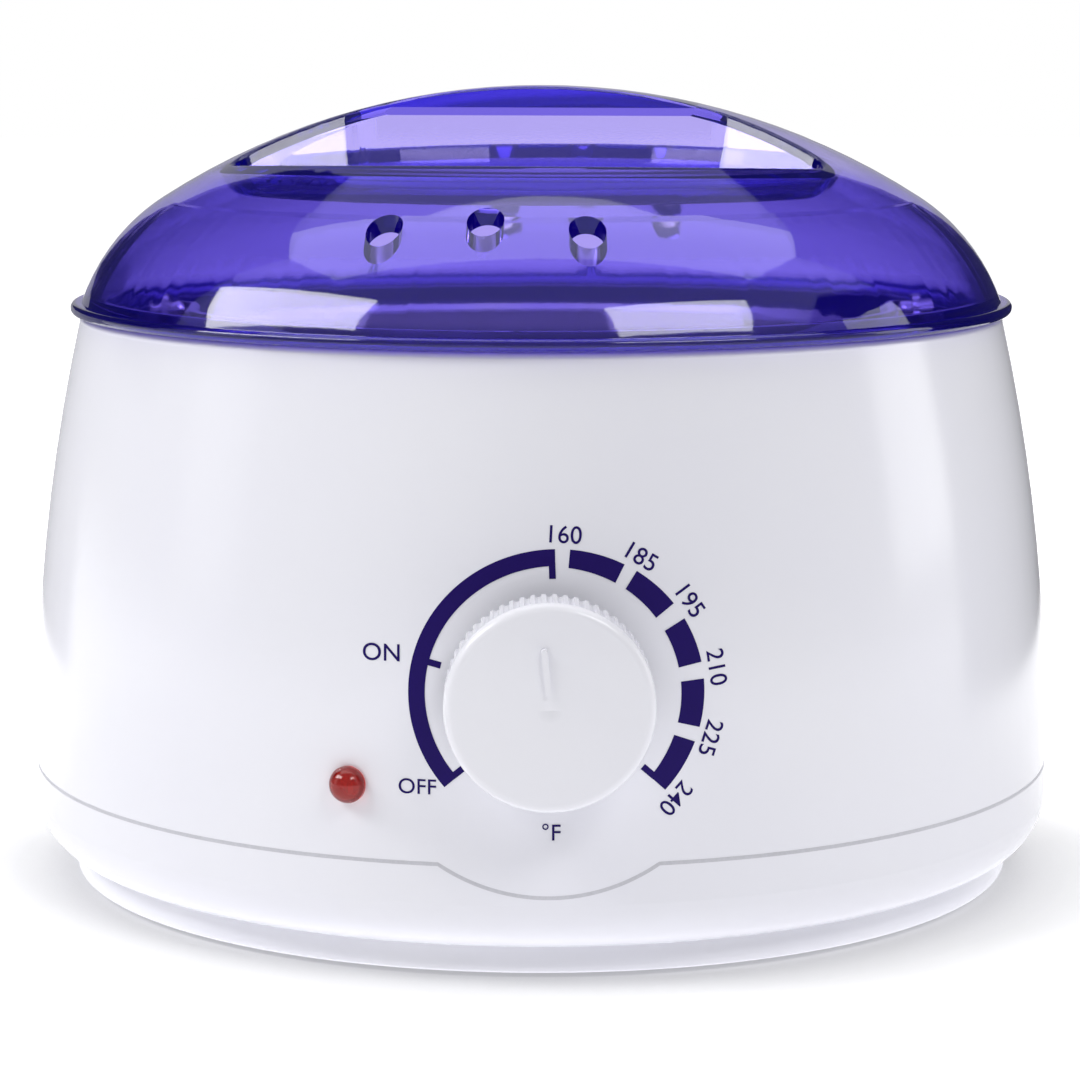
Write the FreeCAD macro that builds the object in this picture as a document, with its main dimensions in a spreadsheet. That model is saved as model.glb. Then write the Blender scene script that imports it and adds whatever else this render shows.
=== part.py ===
import FreeCAD, Part
import os
from math import atan2, cos, hypot, pi, radians, sin, sqrt

import Sketcher
from FreeCAD import Placement, Rotation, Vector

# Wax warmer pot. Millimetres, +Z up, origin on the table under the middle of the round housing.
# The dial faces -Y. The lid's grip bar runs nearly along X.

SIZES = {
    # Housing shell
    "body_radius": 92.8,
    "body_bulge": 348.0,
    "body_top": 101.4,
    "wall": 2.4,
    "rim_round": 1.2,
    "rim_wall": 2.3,
    "seam_height": 20.7,
    "seam_gap": 0.4,
    "tongue_drop": 5.2,
    "rim_depth": 7.4,
    "ledge_thickness": 2.4,
    "ledge_clearance": 3.6,
    # Base pan
    "foot_ring_low": 0.8,
    "foot_ring_width": 2.3,
    "foot_ring_inset": 10.5,
    "foot_ring_draft": 2.1,
    "step_height": 5.3,
    "step_width": 1.2,
    "belly_height": 14.0,
    "belly_round": 9.4,
    "floor_low": 3.2,
    "floor_thickness": 2.2,
    "floor_round": 8.0,
    "lip_height": 3.0,
    "lip_thickness": 1.8,
    "lip_clearance": 0.3,
    "vent_slot_inner": 30.0,
    "vent_margin": 16.0,
    "vent_slot_width": 3.0,
    # Feet and the screws that hold the base
    "foot_radius": 6.5,
    "foot_margin": 3.5,
    "foot_inset": 1.0,
    "foot_round": 0.8,
    "screw_inset": 18.3,
    "screw_radius": 1.45,
    "screw_head_radius": 3.0,
    "screw_head_height": 2.2,
    "screw_length": 12.0,
    "screw_clearance": 0.3,
    "thread_clearance": 0.05,
    "boss_radius": 4.0,
    "boss_split": 11.0,
    "boss_gap": 4.0,
    "base_boss_radius": 5.4,
    "screw_seat": 8.0,
    "rib_thickness": 2.0,
    "rib_gap": 2.3,
    "rib_bite": 0.5,
    # Heating well and what holds it
    "well_inset": 14.0,
    "well_wall": 1.0,
    "well_round": 12.0,
    "well_depth": 51.1,
    "well_flange_clearance": 3.6,
    "gasket_thickness": 0.6,
    "gasket_margin": 1.8,
    "bracket_thickness": 1.2,
    "bracket_width": 10.0,
    "bracket_rise": 6.0,
    "bracket_reach": 8.4,
    "ledge_boss_height": 7.6,
    "ledge_boss_radius": 3.6,
    "bracket_screw_length": 8.0,
    # Heater band and its wrap
    "band_thickness": 1.8,
    "band_rise": 2.0,
    "band_headroom": 1.4,
    "band_clearance": 0.1,
    "band_gap": 10.0,
    "band_ear_length": 11.0,
    "band_ear_height": 12.0,
    "clamp_screw_inset": 4.4,
    "band_ear_thickness": 1.2,
    "clamp_screw_radius": 2.0,
    "clamp_head_radius": 3.6,
    "clamp_head_height": 2.6,
    "wrap_thickness": 3.0,
    "wrap_overhang": 1.0,
    "wrap_gap": 26.0,
    # Thermostat
    "dial_height": 48.0,
    "thermostat_width": 28.0,
    "thermostat_height": 20.0,
    "thermostat_depth": 13.8,
    "thermostat_round": 2.0,
    "collar_radius": 8.0,
    "collar_gap": 0.4,
    "collar_length": 4.2,
    "bush_radius": 4.9,
    "bush_end": 0.4,
    "bush_clearance": 0.2,
    "nut_flats": 14.0,
    "nut_thickness": 2.2,
    "nut_gap": 0.2,
    "saddle_offset": 2.0,
    "saddle_height": 8.0,
    "saddle_angle": 16.0,
    "blade_width": 6.3,
    "blade_thickness": 0.8,
    "blade_length": 9.0,
    "blade_pitch": 14.0,
    "blade_hole_radius": 0.8,
    # Dial knob and shaft
    "shaft_radius": 3.0,
    "shaft_flat": 2.3,
    "shaft_inset": 3.8,
    "shaft_clearance": 0.06,
    "shaft_end_gap": 0.4,
    "knob_radius": 16.6,
    "knob_gap": 0.8,
    "knob_depth": 9.6,
    "knob_crown": 0.8,
    "knob_wall": 2.0,
    "knob_edge": 1.6,
    "knob_hub_radius": 5.4,
    "knob_hub_recess": 2.0,
    "knurl_depth": 0.45,
    "knurl_groove_radius": 0.56,
    "knurl_count": 60.0,
    "pointer_start": 2.4,
    "pointer_length": 7.4,
    "pointer_width": 1.0,
    "pointer_height": 0.5,
    "pointer_angle": 5.5,
    # Signal lamp
    "lamp_rise": 12.0,
    "lamp_azimuth": 20.2,
    "lens_radius": 3.0,
    "lens_flange": 0.9,
    "lens_dome": 2.4,
    "lens_neck_radius": 2.5,
    "lens_neck_length": 8.0,
    "lens_wall": 0.6,
    "lens_clearance": 0.15,
    "bulb_radius": 1.6,
    "bulb_length": 12.0,
    "bulb_gap": 0.6,
    "clip_radius": 5.0,
    "clip_thickness": 0.8,
    # Thermal fuse under the well
    "fuse_radius": 2.0,
    "fuse_length": 12.0,
    "fuse_pin_radius": 0.5,
    "fuse_pin_length": 6.0,
    "fuse_offset": 24.0,
    "fuse_gap": 0.1,
    "fuse_clip_width": 6.0,
    "fuse_clip_thickness": 0.8,
    "fuse_clip_foot": 6.0,
    # Terminal block on the base floor
    "block_length": 30.0,
    "block_depth": 14.0,
    "block_height": 12.0,
    "block_gap": 1.0,
    "block_ways": 3.0,
    "block_well_radius": 2.6,
    "block_well_depth": 7.0,
    "block_screw_radius": 2.3,
    "block_screw_height": 3.0,
    # Cord gland in the seam at the back
    "gland_bore": 3.5,
    "gland_neck_half": 5.2,
    "gland_flange_radius": 7.6,
    "gland_flange": 1.6,
    "gland_nose_radius": 5.6,
    "gland_nose_length": 8.2,
    "gland_clearance": 0.15,
    # Wax pot
    "pot_clearance": 0.4,
    "pot_wall": 1.0,
    "pot_floor_gap": 0.7,
    "pot_round": 11.0,
    "pot_seat_gap": 0.2,
    "pot_flange_width": 7.0,
    "pot_bead": 1.1,
    # Bail and its ears
    "ear_inset": 3.6,
    "ear_thickness": 1.2,
    "ear_half_width": 4.2,
    "ear_rise": 4.0,
    "ear_foot": 3.4,
    "ear_hole_clearance": 0.08,
    "rivet_radius": 1.2,
    "rivet_head_radius": 1.9,
    "rivet_head_height": 0.7,
    "rivet_clearance": 0.05,
    "rivet_pitch": 12.8,
    "ear_foot_half_length": 9.2,
    "bail_wire_radius": 1.25,
    "bail_inset": 6.0,
    "bail_bend": 3.6,
    "bail_end": 2.4,
    # Lid
    "lid_height": 40.3,
    "lid_gap": 0.3,
    "lid_shoulder_radius": 36.5,
    "lid_foot_lean": 19.9,
    "lid_wall": 2.4,
    "lid_overhang": 1.9,
    "lid_flange_width": 2.0,
    "lid_flange_thickness": 2.0,
    "lid_flange_round": 0.9,
    "lid_shelf": 2.6,
    "lid_skirt_depth": 4.5,
    "lid_skirt_thickness": 2.0,
    "lid_skirt_clearance": 0.5,
    "lid_yaw": -8.2,
    "scoop_depth": 17.7,
    "scoop_lean": 20.0,
    "scoop_bar_half": 12.4,
    "scoop_flat_inset": 20.6,
    "scoop_corner": 3.6,
    "scoop_splay": 22.5,
    "scoop_rim": 31.0,
    "scoop_front_shift": 6.6,
    "scoop_tip_round": 4.0,
    "scoop_round": 2.8,
    "scoop_lip_round": 0.7,
    "lid_roof": 5.6,
    "steam_inset": 13.8,
    "steam_pitch": 16.6,
    "steam_radius": 3.05,
    "steam_rise": 5.3,
}

FEET = 4
BASE_SCREWS = 4
WELL_BRACKETS = 3
VENT_SLOTS = 16
STEAM_HOLES = 3
OVERSHOOT = 1.5
SCREW_START_ANGLE = 45.0
BRACKET_START_ANGLE = 30.0

doc = FreeCAD.newDocument("wax_warmer_pot")
sheet = doc.addObject("Spreadsheet::Sheet", "Sizes")
for row, (alias, number) in enumerate(SIZES.items(), start=1):
    sheet.set(f"A{row}", alias)
    sheet.set(f"B{row}", str(number))
    sheet.setAlias(f"B{row}", alias)
doc.recompute()

nodes = []


class Size:
    """A size of the sheet, or one worked out from several: its formula and its present value."""

    def __init__(self, formula, value):
        self.formula = formula
        self.value = value

    def __add__(self, other):
        other = as_size(other)
        return Size(f"({self.formula} + {other.formula})", self.value + other.value)

    def __sub__(self, other):
        other = as_size(other)
        return Size(f"({self.formula} - {other.formula})", self.value - other.value)

    def __mul__(self, other):
        other = as_size(other)
        return Size(f"({self.formula} * {other.formula})", self.value * other.value)

    def __truediv__(self, other):
        other = as_size(other)
        return Size(f"({self.formula} / {other.formula})", self.value / other.value)

    def __neg__(self):
        return Size(f"(0 - {self.formula})", -self.value)


class SheetSizes:
    """Gives each size of the sheet by its alias."""

    def __getattr__(self, alias):
        return Size(f"Sizes.{alias}", float(getattr(sheet, alias)))


s = SheetSizes()
ZERO = Size("0", 0.0)


def as_size(number):
    return number if isinstance(number, Size) else Size(repr(float(number)), float(number))


def root(size):
    return Size(f"sqrt({size.formula})", sqrt(size.value))


def sine(degrees):
    return Size(f"sin({degrees.formula} * 1 deg)", sin(radians(degrees.value)))


def cosine(degrees):
    return Size(f"cos({degrees.formula} * 1 deg)", cos(radians(degrees.value)))


def body_radius_at(height, inset=ZERO):
    """Radius of the housing's bulged wall at a height, on the outside or an inset inside it."""
    drop = height - s.seam_height
    bulge = s.body_bulge - inset
    return s.body_radius - s.body_bulge + root(bulge * bulge - drop * drop)


# Sketches and features


def bind(thing, **sizes):
    for name, size in sizes.items():
        thing.setExpression(name, as_size(size).formula)


def place(thing, x=ZERO, y=ZERO, z=ZERO, turn=None):
    """Put an object at three sizes, turned by a rotation."""
    base = [as_size(size) for size in (x, y, z)]
    thing.Placement = Placement(Vector(*[size.value for size in base]), turn or Rotation())
    for letter, size in zip("xyz", base):
        thing.setExpression(f"Placement.Base.{letter}", size.formula)


def new_body(name):
    body = doc.addObject("PartDesign::Body", name)
    body.Label = name
    return body


def origin_feature(body, role):
    return next(item for item in body.Origin.OriginFeatures if item.Role == role)


def new_sketch(body, name, role, offset=ZERO, spin=0.0):
    """A sketch on one of the body's own planes, moved along the plane's normal and spun about it."""
    sketch = body.newObject("Sketcher::SketchObject", name)
    sketch.AttachmentSupport = [(origin_feature(body, role), "")]
    sketch.MapMode = "FlatFace"
    sketch.AttachmentOffset = Placement(Vector(0, 0, as_size(offset).value), Rotation(spin, 0, 0))
    sketch.setExpression("AttachmentOffset.Base.z", as_size(offset).formula)
    return sketch


def arc_between(start, end, radius):
    """The short arc from start to end, turning left for a positive radius and right for a negative one."""
    chord_x = end[0] - start[0]
    chord_y = end[1] - start[1]
    chord = hypot(chord_x, chord_y)
    reach = sqrt(max(radius * radius - chord * chord / 4, 0.0)) / chord
    side = 1 if radius > 0 else -1
    centre_x = (start[0] + end[0]) / 2 - side * reach * chord_y
    centre_y = (start[1] + end[1]) / 2 + side * reach * chord_x
    first, last = (start, end) if radius > 0 else (end, start)
    angles = [atan2(point[1] - centre_y, point[0] - centre_x) for point in (first, last)]
    if angles[1] < angles[0]:
        angles[1] += 2 * pi
    circle = Part.Circle(Vector(centre_x, centre_y, 0), Vector(0, 0, 1), abs(radius))
    return Part.ArcOfCircle(circle, *angles)


def pin_point(sketch, geometry, end, x, y):
    """Hold one end of a sketch line or arc at two sizes measured from the sketch's origin."""
    for kind, axis, size in (("DistanceX", -2, x), ("DistanceY", -1, y)):
        if size.formula == ZERO.formula:
            sketch.addConstraint(Sketcher.Constraint("PointOnObject", geometry, end, axis))
        else:
            limit = Sketcher.Constraint(kind, -1, 1, geometry, end, size.value)
            sketch.setExpression(f"Constraints[{sketch.addConstraint(limit)}]", size.formula)


def draw_outline(sketch, corners, closed=True):
    """Lines and arcs through corners of (x, y) or, where an arc leaves the corner, (x, y, radius)."""
    points = [(as_size(corner[0]), as_size(corner[1])) for corner in corners]
    count = len(points)
    spans = count if closed else count - 1
    ends = []
    for index in range(spans):
        following = (index + 1) % count
        start = [size.value for size in points[index]]
        end = [size.value for size in points[following]]
        if len(corners[index]) == 3:
            radius = as_size(corners[index][2])
            geometry = sketch.addGeometry(arc_between(start, end, radius.value), False)
            limit = Sketcher.Constraint("Radius", geometry, abs(radius.value))
            sign = "" if radius.value > 0 else "-1 * "
            sketch.setExpression(f"Constraints[{sketch.addConstraint(limit)}]", sign + radius.formula)
            ends.append((geometry, 1, 2) if radius.value > 0 else (geometry, 2, 1))
        else:
            line = Part.LineSegment(Vector(*start, 0), Vector(*end, 0))
            ends.append((sketch.addGeometry(line, False), 1, 2))
    for index in range(spans):
        geometry, first, last = ends[index]
        pin_point(sketch, geometry, first, *points[index])
        if closed or index < spans - 1:
            other, other_first, _ = ends[(index + 1) % spans]
            sketch.addConstraint(Sketcher.Constraint("Coincident", geometry, last, other, other_first))
        else:
            pin_point(sketch, geometry, last, *points[-1])


def draw_circle(sketch, x, y, radius):
    x, y, radius = as_size(x), as_size(y), as_size(radius)
    circle = Part.Circle(Vector(x.value, y.value, 0), Vector(0, 0, 1), radius.value)
    geometry = sketch.addGeometry(circle, False)
    limit = Sketcher.Constraint("Radius", geometry, radius.value)
    sketch.setExpression(f"Constraints[{sketch.addConstraint(limit)}]", radius.formula)
    pin_point(sketch, geometry, 3, x, y)


def box_corners(low_x, high_x, low_y, high_y):
    return [(low_x, low_y), (high_x, low_y), (high_x, high_y), (low_x, high_y)]


def slot_corners(x, y, half_width, half_length):
    """A slot along y with round ends."""
    x, y = as_size(x), as_size(y)
    straight = half_length - half_width
    return [
        (x + half_width, y - straight),
        (x + half_width, y + straight, half_width),
        (x, y + half_length, half_width),
        (x - half_width, y + straight),
        (x - half_width, y - straight, half_width),
        (x, y - half_length, half_width),
    ]


def revolve(body, name, corners, axis_x=None, angle=None):
    """Turn an outline of (radius, height) about Z, or about an upright line at axis_x."""
    sketch = new_sketch(body, name + "_profile", "XZ_Plane")
    draw_outline(sketch, corners)
    axis = "V_Axis"
    if axis_x is not None:
        line = Part.LineSegment(Vector(axis_x.value, 0, 0), Vector(axis_x.value, 1, 0))
        geometry = sketch.addGeometry(line, True)
        pin_point(sketch, geometry, 1, axis_x, ZERO)
        pin_point(sketch, geometry, 2, axis_x, as_size(1.0))
        axis = "Axis0"
    feature = body.newObject("PartDesign::Revolution", name)
    feature.Profile = sketch
    feature.ReferenceAxis = (sketch, [axis])
    feature.Angle = 360.0
    if angle is not None:
        feature.Midplane = True
        bind(feature, Angle=angle)
    return feature


def extrude(body, name, sketch, length, cut=False, reverse=False):
    """Pad a sketch along its normal, or cut it into the body against its normal."""
    feature = body.newObject("PartDesign::Pocket" if cut else "PartDesign::Pad", name)
    feature.Profile = sketch
    feature.Reversed = reverse
    bind(feature, Length=length)
    return feature


def pattern_round(body, name, features, count):
    pattern = body.newObject("PartDesign::PolarPattern", name)
    pattern.Originals = features
    pattern.Axis = (origin_feature(body, "Z_Axis"), [""])
    pattern.Angle = 360.0
    pattern.Occurrences = count
    body.Tip = pattern
    return pattern


def mirror(body, name, features, role):
    mirrored = body.newObject("PartDesign::Mirrored", name)
    mirrored.Originals = features
    mirrored.MirrorPlane = (origin_feature(body, role), [""])
    body.Tip = mirrored
    return mirrored


def edges_where(feature, test):
    """Names of a feature's edges that pass a test, apart from edges shrunk to a point."""
    doc.recompute()
    edges = enumerate(feature.Shape.Edges, start=1)
    return [f"Edge{index}" for index, edge in edges if not edge.Degenerated and test(edge)]


def round_edges(body, name, feature, radius, test):
    fillet = body.newObject("PartDesign::Fillet", name)
    fillet.Base = (feature, edges_where(feature, test))
    bind(fillet, Radius=radius)
    return fillet


TURNS = {
    "+Z": Rotation(),
    "+Y": Rotation(Vector(1, 0, 0), -90),
    "-Y": Rotation(Vector(1, 0, 0), 90),
    "+X": Rotation(Vector(0, 1, 0), 90),
}


def cylinder(name, radius, length, x=ZERO, y=ZERO, z=ZERO, along="+Z"):
    solid = doc.addObject("Part::Cylinder", name)
    bind(solid, Radius=radius, Height=length)
    place(solid, x, y, z, TURNS[along])
    return solid


def lamp_hole(name, radius, depth):
    """A hole through the wall at the signal lamp, as deep on each side of the outer face."""
    body = new_body(name)
    revolve(body, name + "_wall", box_corners(ZERO, radius, -depth, depth))
    body.Placement = facing_lamp()
    return body


def fuse(name, solids):
    joined = doc.addObject("Part::MultiFuse", name)
    joined.Shapes = solids
    return joined


def common(name, first, second):
    shared = doc.addObject("Part::MultiCommon", name)
    shared.Shapes = [first, second]
    return shared


def cut(name, base, tool):
    result = doc.addObject("Part::Cut", name)
    result.Base = base
    result.Tool = tool
    return result


def group(name, solids):
    together = doc.addObject("Part::Compound", name)
    together.Links = solids
    return together


def add_node(thing, name):
    thing.Label = name
    nodes.append(thing)
    return thing


def facing_lamp():
    """Placement whose +Z points out of the wall at the signal lamp."""
    radius = body_radius_at(lamp_height).value
    angle = radians(s.lamp_azimuth.value)
    outward = Vector(-sin(angle), -cos(angle), 0)
    spot = outward * radius + Vector(0, 0, lamp_height.value)
    return Placement(spot, Rotation(Vector(0, 0, 1), outward))


# Heights and radii that several pieces share

floor_top = s.floor_low + s.floor_thickness
foot_ring_outer = s.body_radius - s.foot_ring_inset
foot_ring_inner = foot_ring_outer - s.foot_ring_width
foot_ring_shoulder = foot_ring_outer + s.foot_ring_draft
step_outer_radius = foot_ring_shoulder + s.step_width
foot_circle = foot_ring_inner - s.foot_radius - s.foot_margin
vent_slot_outer = foot_circle - s.vent_margin
lip_outer = s.body_radius - s.wall - s.lip_clearance
lip_inner = lip_outer - s.lip_thickness
tongue_radius = s.dial_height - s.seam_height + s.tongue_drop
tongue_reach = s.body_radius * 2

rim_radius = body_radius_at(s.body_top)
rim_inner_radius = rim_radius - s.rim_wall
well_radius = rim_inner_radius - s.well_inset
ledge_height = s.body_top - s.rim_depth
ledge_low = ledge_height - s.ledge_thickness
ledge_inner_radius = well_radius + s.ledge_clearance
gasket_top = ledge_height + s.gasket_thickness
well_flange_top = gasket_top + s.well_wall
well_flange_radius = rim_inner_radius - s.well_flange_clearance
well_low = gasket_top - s.well_depth
bracket_top = ledge_low - s.ledge_boss_height
bracket_low = bracket_top - s.bracket_thickness
bracket_screw_circle = well_radius + s.bracket_reach

thermostat_low = s.dial_height - s.thermostat_height / 2
thermostat_high = s.dial_height + s.thermostat_height / 2
collar_front = body_radius_at(s.dial_height + s.collar_radius, s.wall) - s.collar_gap
thermostat_front = collar_front - s.collar_length
thermostat_back = thermostat_front - s.thermostat_depth
nut_back = body_radius_at(s.dial_height - s.nut_flats / 2) + s.nut_gap
bush_front = nut_back + s.nut_thickness + s.bush_end
shaft_back = thermostat_back + s.shaft_inset
knob_back = s.body_radius + s.knob_gap
knob_front = knob_back + s.knob_depth
lamp_height = s.seam_height + s.lamp_rise

band_low = thermostat_high + s.band_rise
band_high = bracket_low - s.screw_head_height - s.band_headroom
band_inner = well_radius + s.band_clearance
band_outer = band_inner + s.band_thickness
wrap_low = band_low - s.wrap_overhang

screw_circle = s.body_radius - s.screw_inset
screw_hole = s.screw_radius + s.screw_clearance
screw_pilot = s.screw_radius + s.thread_clearance
boss_top = wrap_low - s.boss_gap
rib_low = s.seam_height + s.lip_height + s.rib_gap

pot_radius = well_radius - s.well_wall - s.pot_clearance
pot_low = well_low + s.well_wall + s.pot_floor_gap
pot_flange_low = well_flange_top + s.pot_seat_gap
pot_flange_top = pot_flange_low + s.pot_wall
pot_flange_radius = pot_radius + s.pot_flange_width
ear_radius = pot_flange_radius - s.ear_inset
ear_foot_top = pot_flange_top + s.ear_thickness
bail_height = ear_foot_top + s.ear_rise

lid_low = s.body_top + s.lid_gap
lid_top = lid_low + s.lid_height
lid_flange_top = lid_low + s.lid_flange_thickness
lid_flange_radius = rim_radius + s.lid_overhang
lid_foot_radius = lid_flange_radius - s.lid_flange_width


# Housing shell


def seam_tongue(name, inner_radius, outer_radius, arc_radius):
    """The part of an upright ring that lies inside a circle about the dial's axis, on the front."""
    ring = new_body(name + "_ring")
    low = s.dial_height - tongue_radius * OVERSHOOT
    revolve(ring, name + "_wall", box_corners(inner_radius, outer_radius, low, s.seam_height))
    disc = cylinder(name + "_disc", arc_radius, tongue_reach, z=s.dial_height, along="-Y")
    return common(name, ring, disc)


def gland_notch(name):
    """A square hole at the back, half in each shell, that keeps the gland from turning."""
    body = new_body(name)
    half = s.gland_neck_half + s.gland_clearance
    sketch = new_sketch(body, name + "_outline", "XY_Plane")
    draw_outline(sketch, box_corners(-half, half, -half, half))
    extrude(body, name + "_prism", sketch, s.body_radius)
    place(body, ZERO, s.body_radius / 2, s.seam_height, TURNS["+Y"])
    return body


def make_upper_housing():
    shell = new_body("upper_shell")
    rim_start = s.body_top - s.rim_round
    rim_edge = body_radius_at(rim_start)
    revolve(
        shell,
        "shell_wall",
        [
            (s.body_radius, s.seam_height, s.body_bulge),
            (rim_edge, rim_start, s.rim_round),
            (rim_edge - s.rim_round, s.body_top),
            (rim_inner_radius, s.body_top),
            (rim_inner_radius, ledge_height),
            (ledge_inner_radius, ledge_height),
            (ledge_inner_radius, ledge_low),
            (body_radius_at(ledge_low, s.wall), ledge_low, s.wall - s.body_bulge),
            (s.body_radius - s.wall, s.seam_height),
        ],
    )
    rib_end = s.body_radius - s.wall + s.rib_bite
    rib_sketch = new_sketch(shell, "rib_outline", "XY_Plane", rib_low, SCREW_START_ANGLE)
    half_rib = s.rib_thickness / 2
    draw_outline(rib_sketch, box_corners(screw_circle, rib_end, -half_rib, half_rib))
    rib = extrude(shell, "rib", rib_sketch, boss_top - rib_low)
    boss_sketch = new_sketch(shell, "boss_outline", "XY_Plane", s.boss_split, SCREW_START_ANGLE)
    draw_circle(boss_sketch, screw_circle, ZERO, s.boss_radius)
    boss = extrude(shell, "boss", boss_sketch, boss_top - s.boss_split)
    pilot_sketch = new_sketch(shell, "pilot_outline", "XY_Plane", s.boss_split, SCREW_START_ANGLE)
    draw_circle(pilot_sketch, screw_circle, ZERO, screw_pilot)
    pilot_depth = s.screw_seat + s.screw_length - s.boss_split + s.screw_head_height
    pilot = extrude(shell, "pilot", pilot_sketch, pilot_depth, cut=True, reverse=True)
    pattern_round(shell, "bosses", [rib, boss, pilot], BASE_SCREWS)

    hanger_sketch = new_sketch(shell, "hanger_outline", "XY_Plane", bracket_top, BRACKET_START_ANGLE)
    draw_circle(hanger_sketch, bracket_screw_circle, ZERO, s.ledge_boss_radius)
    hanger = extrude(shell, "hanger", hanger_sketch, s.ledge_boss_height + s.ledge_thickness / 2)
    hole_sketch = new_sketch(shell, "hanger_pilot_outline", "XY_Plane", bracket_top, BRACKET_START_ANGLE)
    draw_circle(hole_sketch, bracket_screw_circle, ZERO, screw_pilot)
    hole = extrude(shell, "hanger_pilot", hole_sketch, s.bracket_screw_length, cut=True, reverse=True)
    pattern_round(shell, "hangers", [hanger, hole], WELL_BRACKETS)

    tongue = seam_tongue("front_tongue", s.body_radius - s.wall, s.body_radius, tongue_radius)
    bush_hole = s.bush_radius + s.bush_clearance
    shaft_hole = cylinder("shaft_hole", bush_hole, tongue_reach, z=s.dial_height, along="-Y")
    lens_hole = lamp_hole("lens_hole", s.lens_neck_radius + s.lens_clearance, s.wall * 2)
    holes = fuse("upper_holes", [shaft_hole, lens_hole, gland_notch("upper_notch")])
    return add_node(cut("upper_housing", fuse("upper_blank", [shell, tongue]), holes), "upper_housing")


# Base pan, feet and screws


def make_base_pan():
    pan = new_body("base_blank")
    rim = s.seam_height - s.seam_gap
    revolve(
        pan,
        "pan_wall",
        [
            (ZERO, s.floor_low),
            (foot_ring_inner, s.floor_low),
            (foot_ring_inner, s.foot_ring_low),
            (foot_ring_outer, s.foot_ring_low),
            (foot_ring_shoulder, s.step_height),
            (step_outer_radius, s.step_height, s.belly_round),
            (s.body_radius, s.belly_height),
            (s.body_radius, rim),
            (lip_outer, rim),
            (lip_outer, s.seam_height + s.lip_height),
            (lip_inner, s.seam_height + s.lip_height),
            (lip_inner, floor_top + s.floor_round, -s.floor_round),
            (lip_inner - s.floor_round, floor_top),
            (ZERO, floor_top),
        ],
    )
    boss_sketch = new_sketch(pan, "boss_outline", "XY_Plane", s.floor_low, SCREW_START_ANGLE)
    draw_circle(boss_sketch, screw_circle, ZERO, s.base_boss_radius)
    boss = extrude(pan, "boss", boss_sketch, s.boss_split - s.floor_low)
    sink_sketch = new_sketch(pan, "sink_outline", "XY_Plane", s.floor_low, SCREW_START_ANGLE)
    draw_circle(sink_sketch, screw_circle, ZERO, s.screw_head_radius + s.screw_clearance)
    sink = extrude(pan, "sink", sink_sketch, s.screw_seat - s.floor_low, cut=True, reverse=True)
    hole_sketch = new_sketch(pan, "hole_outline", "XY_Plane", s.floor_low, SCREW_START_ANGLE)
    draw_circle(hole_sketch, screw_circle, ZERO, screw_hole)
    hole = extrude(pan, "hole", hole_sketch, s.boss_split - s.floor_low, cut=True, reverse=True)
    pattern_round(pan, "bosses", [boss, sink, hole], BASE_SCREWS)

    socket_sketch = new_sketch(pan, "socket_outline", "XY_Plane", s.floor_low)
    draw_circle(socket_sketch, foot_circle, ZERO, s.foot_radius + s.screw_clearance)
    socket = extrude(pan, "socket", socket_sketch, s.foot_inset, cut=True, reverse=True)
    pattern_round(pan, "sockets", [socket], FEET)

    slot_sketch = new_sketch(pan, "slot_outline", "XY_Plane", s.floor_low)
    slot_middle = (s.vent_slot_inner + vent_slot_outer) / 2
    slot_half = (vent_slot_outer - s.vent_slot_inner) / 2
    draw_outline(slot_sketch, slot_corners(ZERO, slot_middle, s.vent_slot_width / 2, slot_half))
    slot = extrude(pan, "slot", slot_sketch, s.floor_thickness, cut=True, reverse=True)
    pattern_round(pan, "slots", [slot], VENT_SLOTS)

    outside = s.body_radius + s.wall
    scallop = seam_tongue("front_scallop", lip_outer, outside, tongue_radius + s.seam_gap)
    cuts = fuse("base_cuts", [scallop, gland_notch("base_notch")])
    return add_node(cut("base_pan", pan, cuts), "base_pan")


def make_rubber_feet():
    body = new_body("rubber_feet")
    top = s.floor_low + s.foot_inset
    edge = foot_circle + s.foot_radius
    foot = revolve(
        body,
        "foot",
        [
            (foot_circle, ZERO),
            (edge - s.foot_round, ZERO, s.foot_round),
            (edge, s.foot_round),
            (edge, top),
            (foot_circle, top),
        ],
        axis_x=foot_circle,
    )
    pattern_round(body, "feet", [foot], FEET)
    return add_node(body, "rubber_feet")


def pan_head_screws(name, circle, seat, length, count, start_angle):
    """Screws on a circle, driven upwards, with their heads under the seat height."""
    body = new_body(name)
    low = seat - s.screw_head_height
    head_edge = circle + s.screw_head_radius
    dome = s.screw_head_height / 2
    shank = circle + s.screw_radius
    screw = revolve(
        body,
        name + "_screw",
        [
            (circle, low),
            (head_edge - dome, low, dome),
            (head_edge, low + dome),
            (head_edge, seat),
            (shank, seat),
            (shank, seat + length - s.screw_radius),
            (circle, seat + length),
        ],
        axis_x=circle,
    )
    pattern_round(body, name + "_all", [screw], count)
    body.Placement = Placement(Vector(), Rotation(Vector(0, 0, 1), start_angle))
    return add_node(body, name)


# Heating well


def make_heating_well():
    body = new_body("heating_well")
    inner = well_radius - s.well_wall
    inner_round = s.well_round - s.well_wall
    revolve(
        body,
        "well_wall",
        [
            (ZERO, well_low),
            (well_radius - s.well_round, well_low, s.well_round),
            (well_radius, well_low + s.well_round),
            (well_radius, gasket_top),
            (well_flange_radius, gasket_top),
            (well_flange_radius, well_flange_top),
            (inner, well_flange_top),
            (inner, well_low + s.well_round, -inner_round),
            (well_radius - s.well_round, well_low + s.well_wall),
            (ZERO, well_low + s.well_wall),
        ],
    )
    return add_node(body, "heating_well")


def make_well_gasket():
    body = new_body("well_gasket")
    inner = ledge_inner_radius + s.gasket_margin
    corners = box_corners(inner, well_flange_radius, ledge_height, gasket_top)
    revolve(body, "gasket_ring", corners)
    return add_node(body, "well_gasket")


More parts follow.
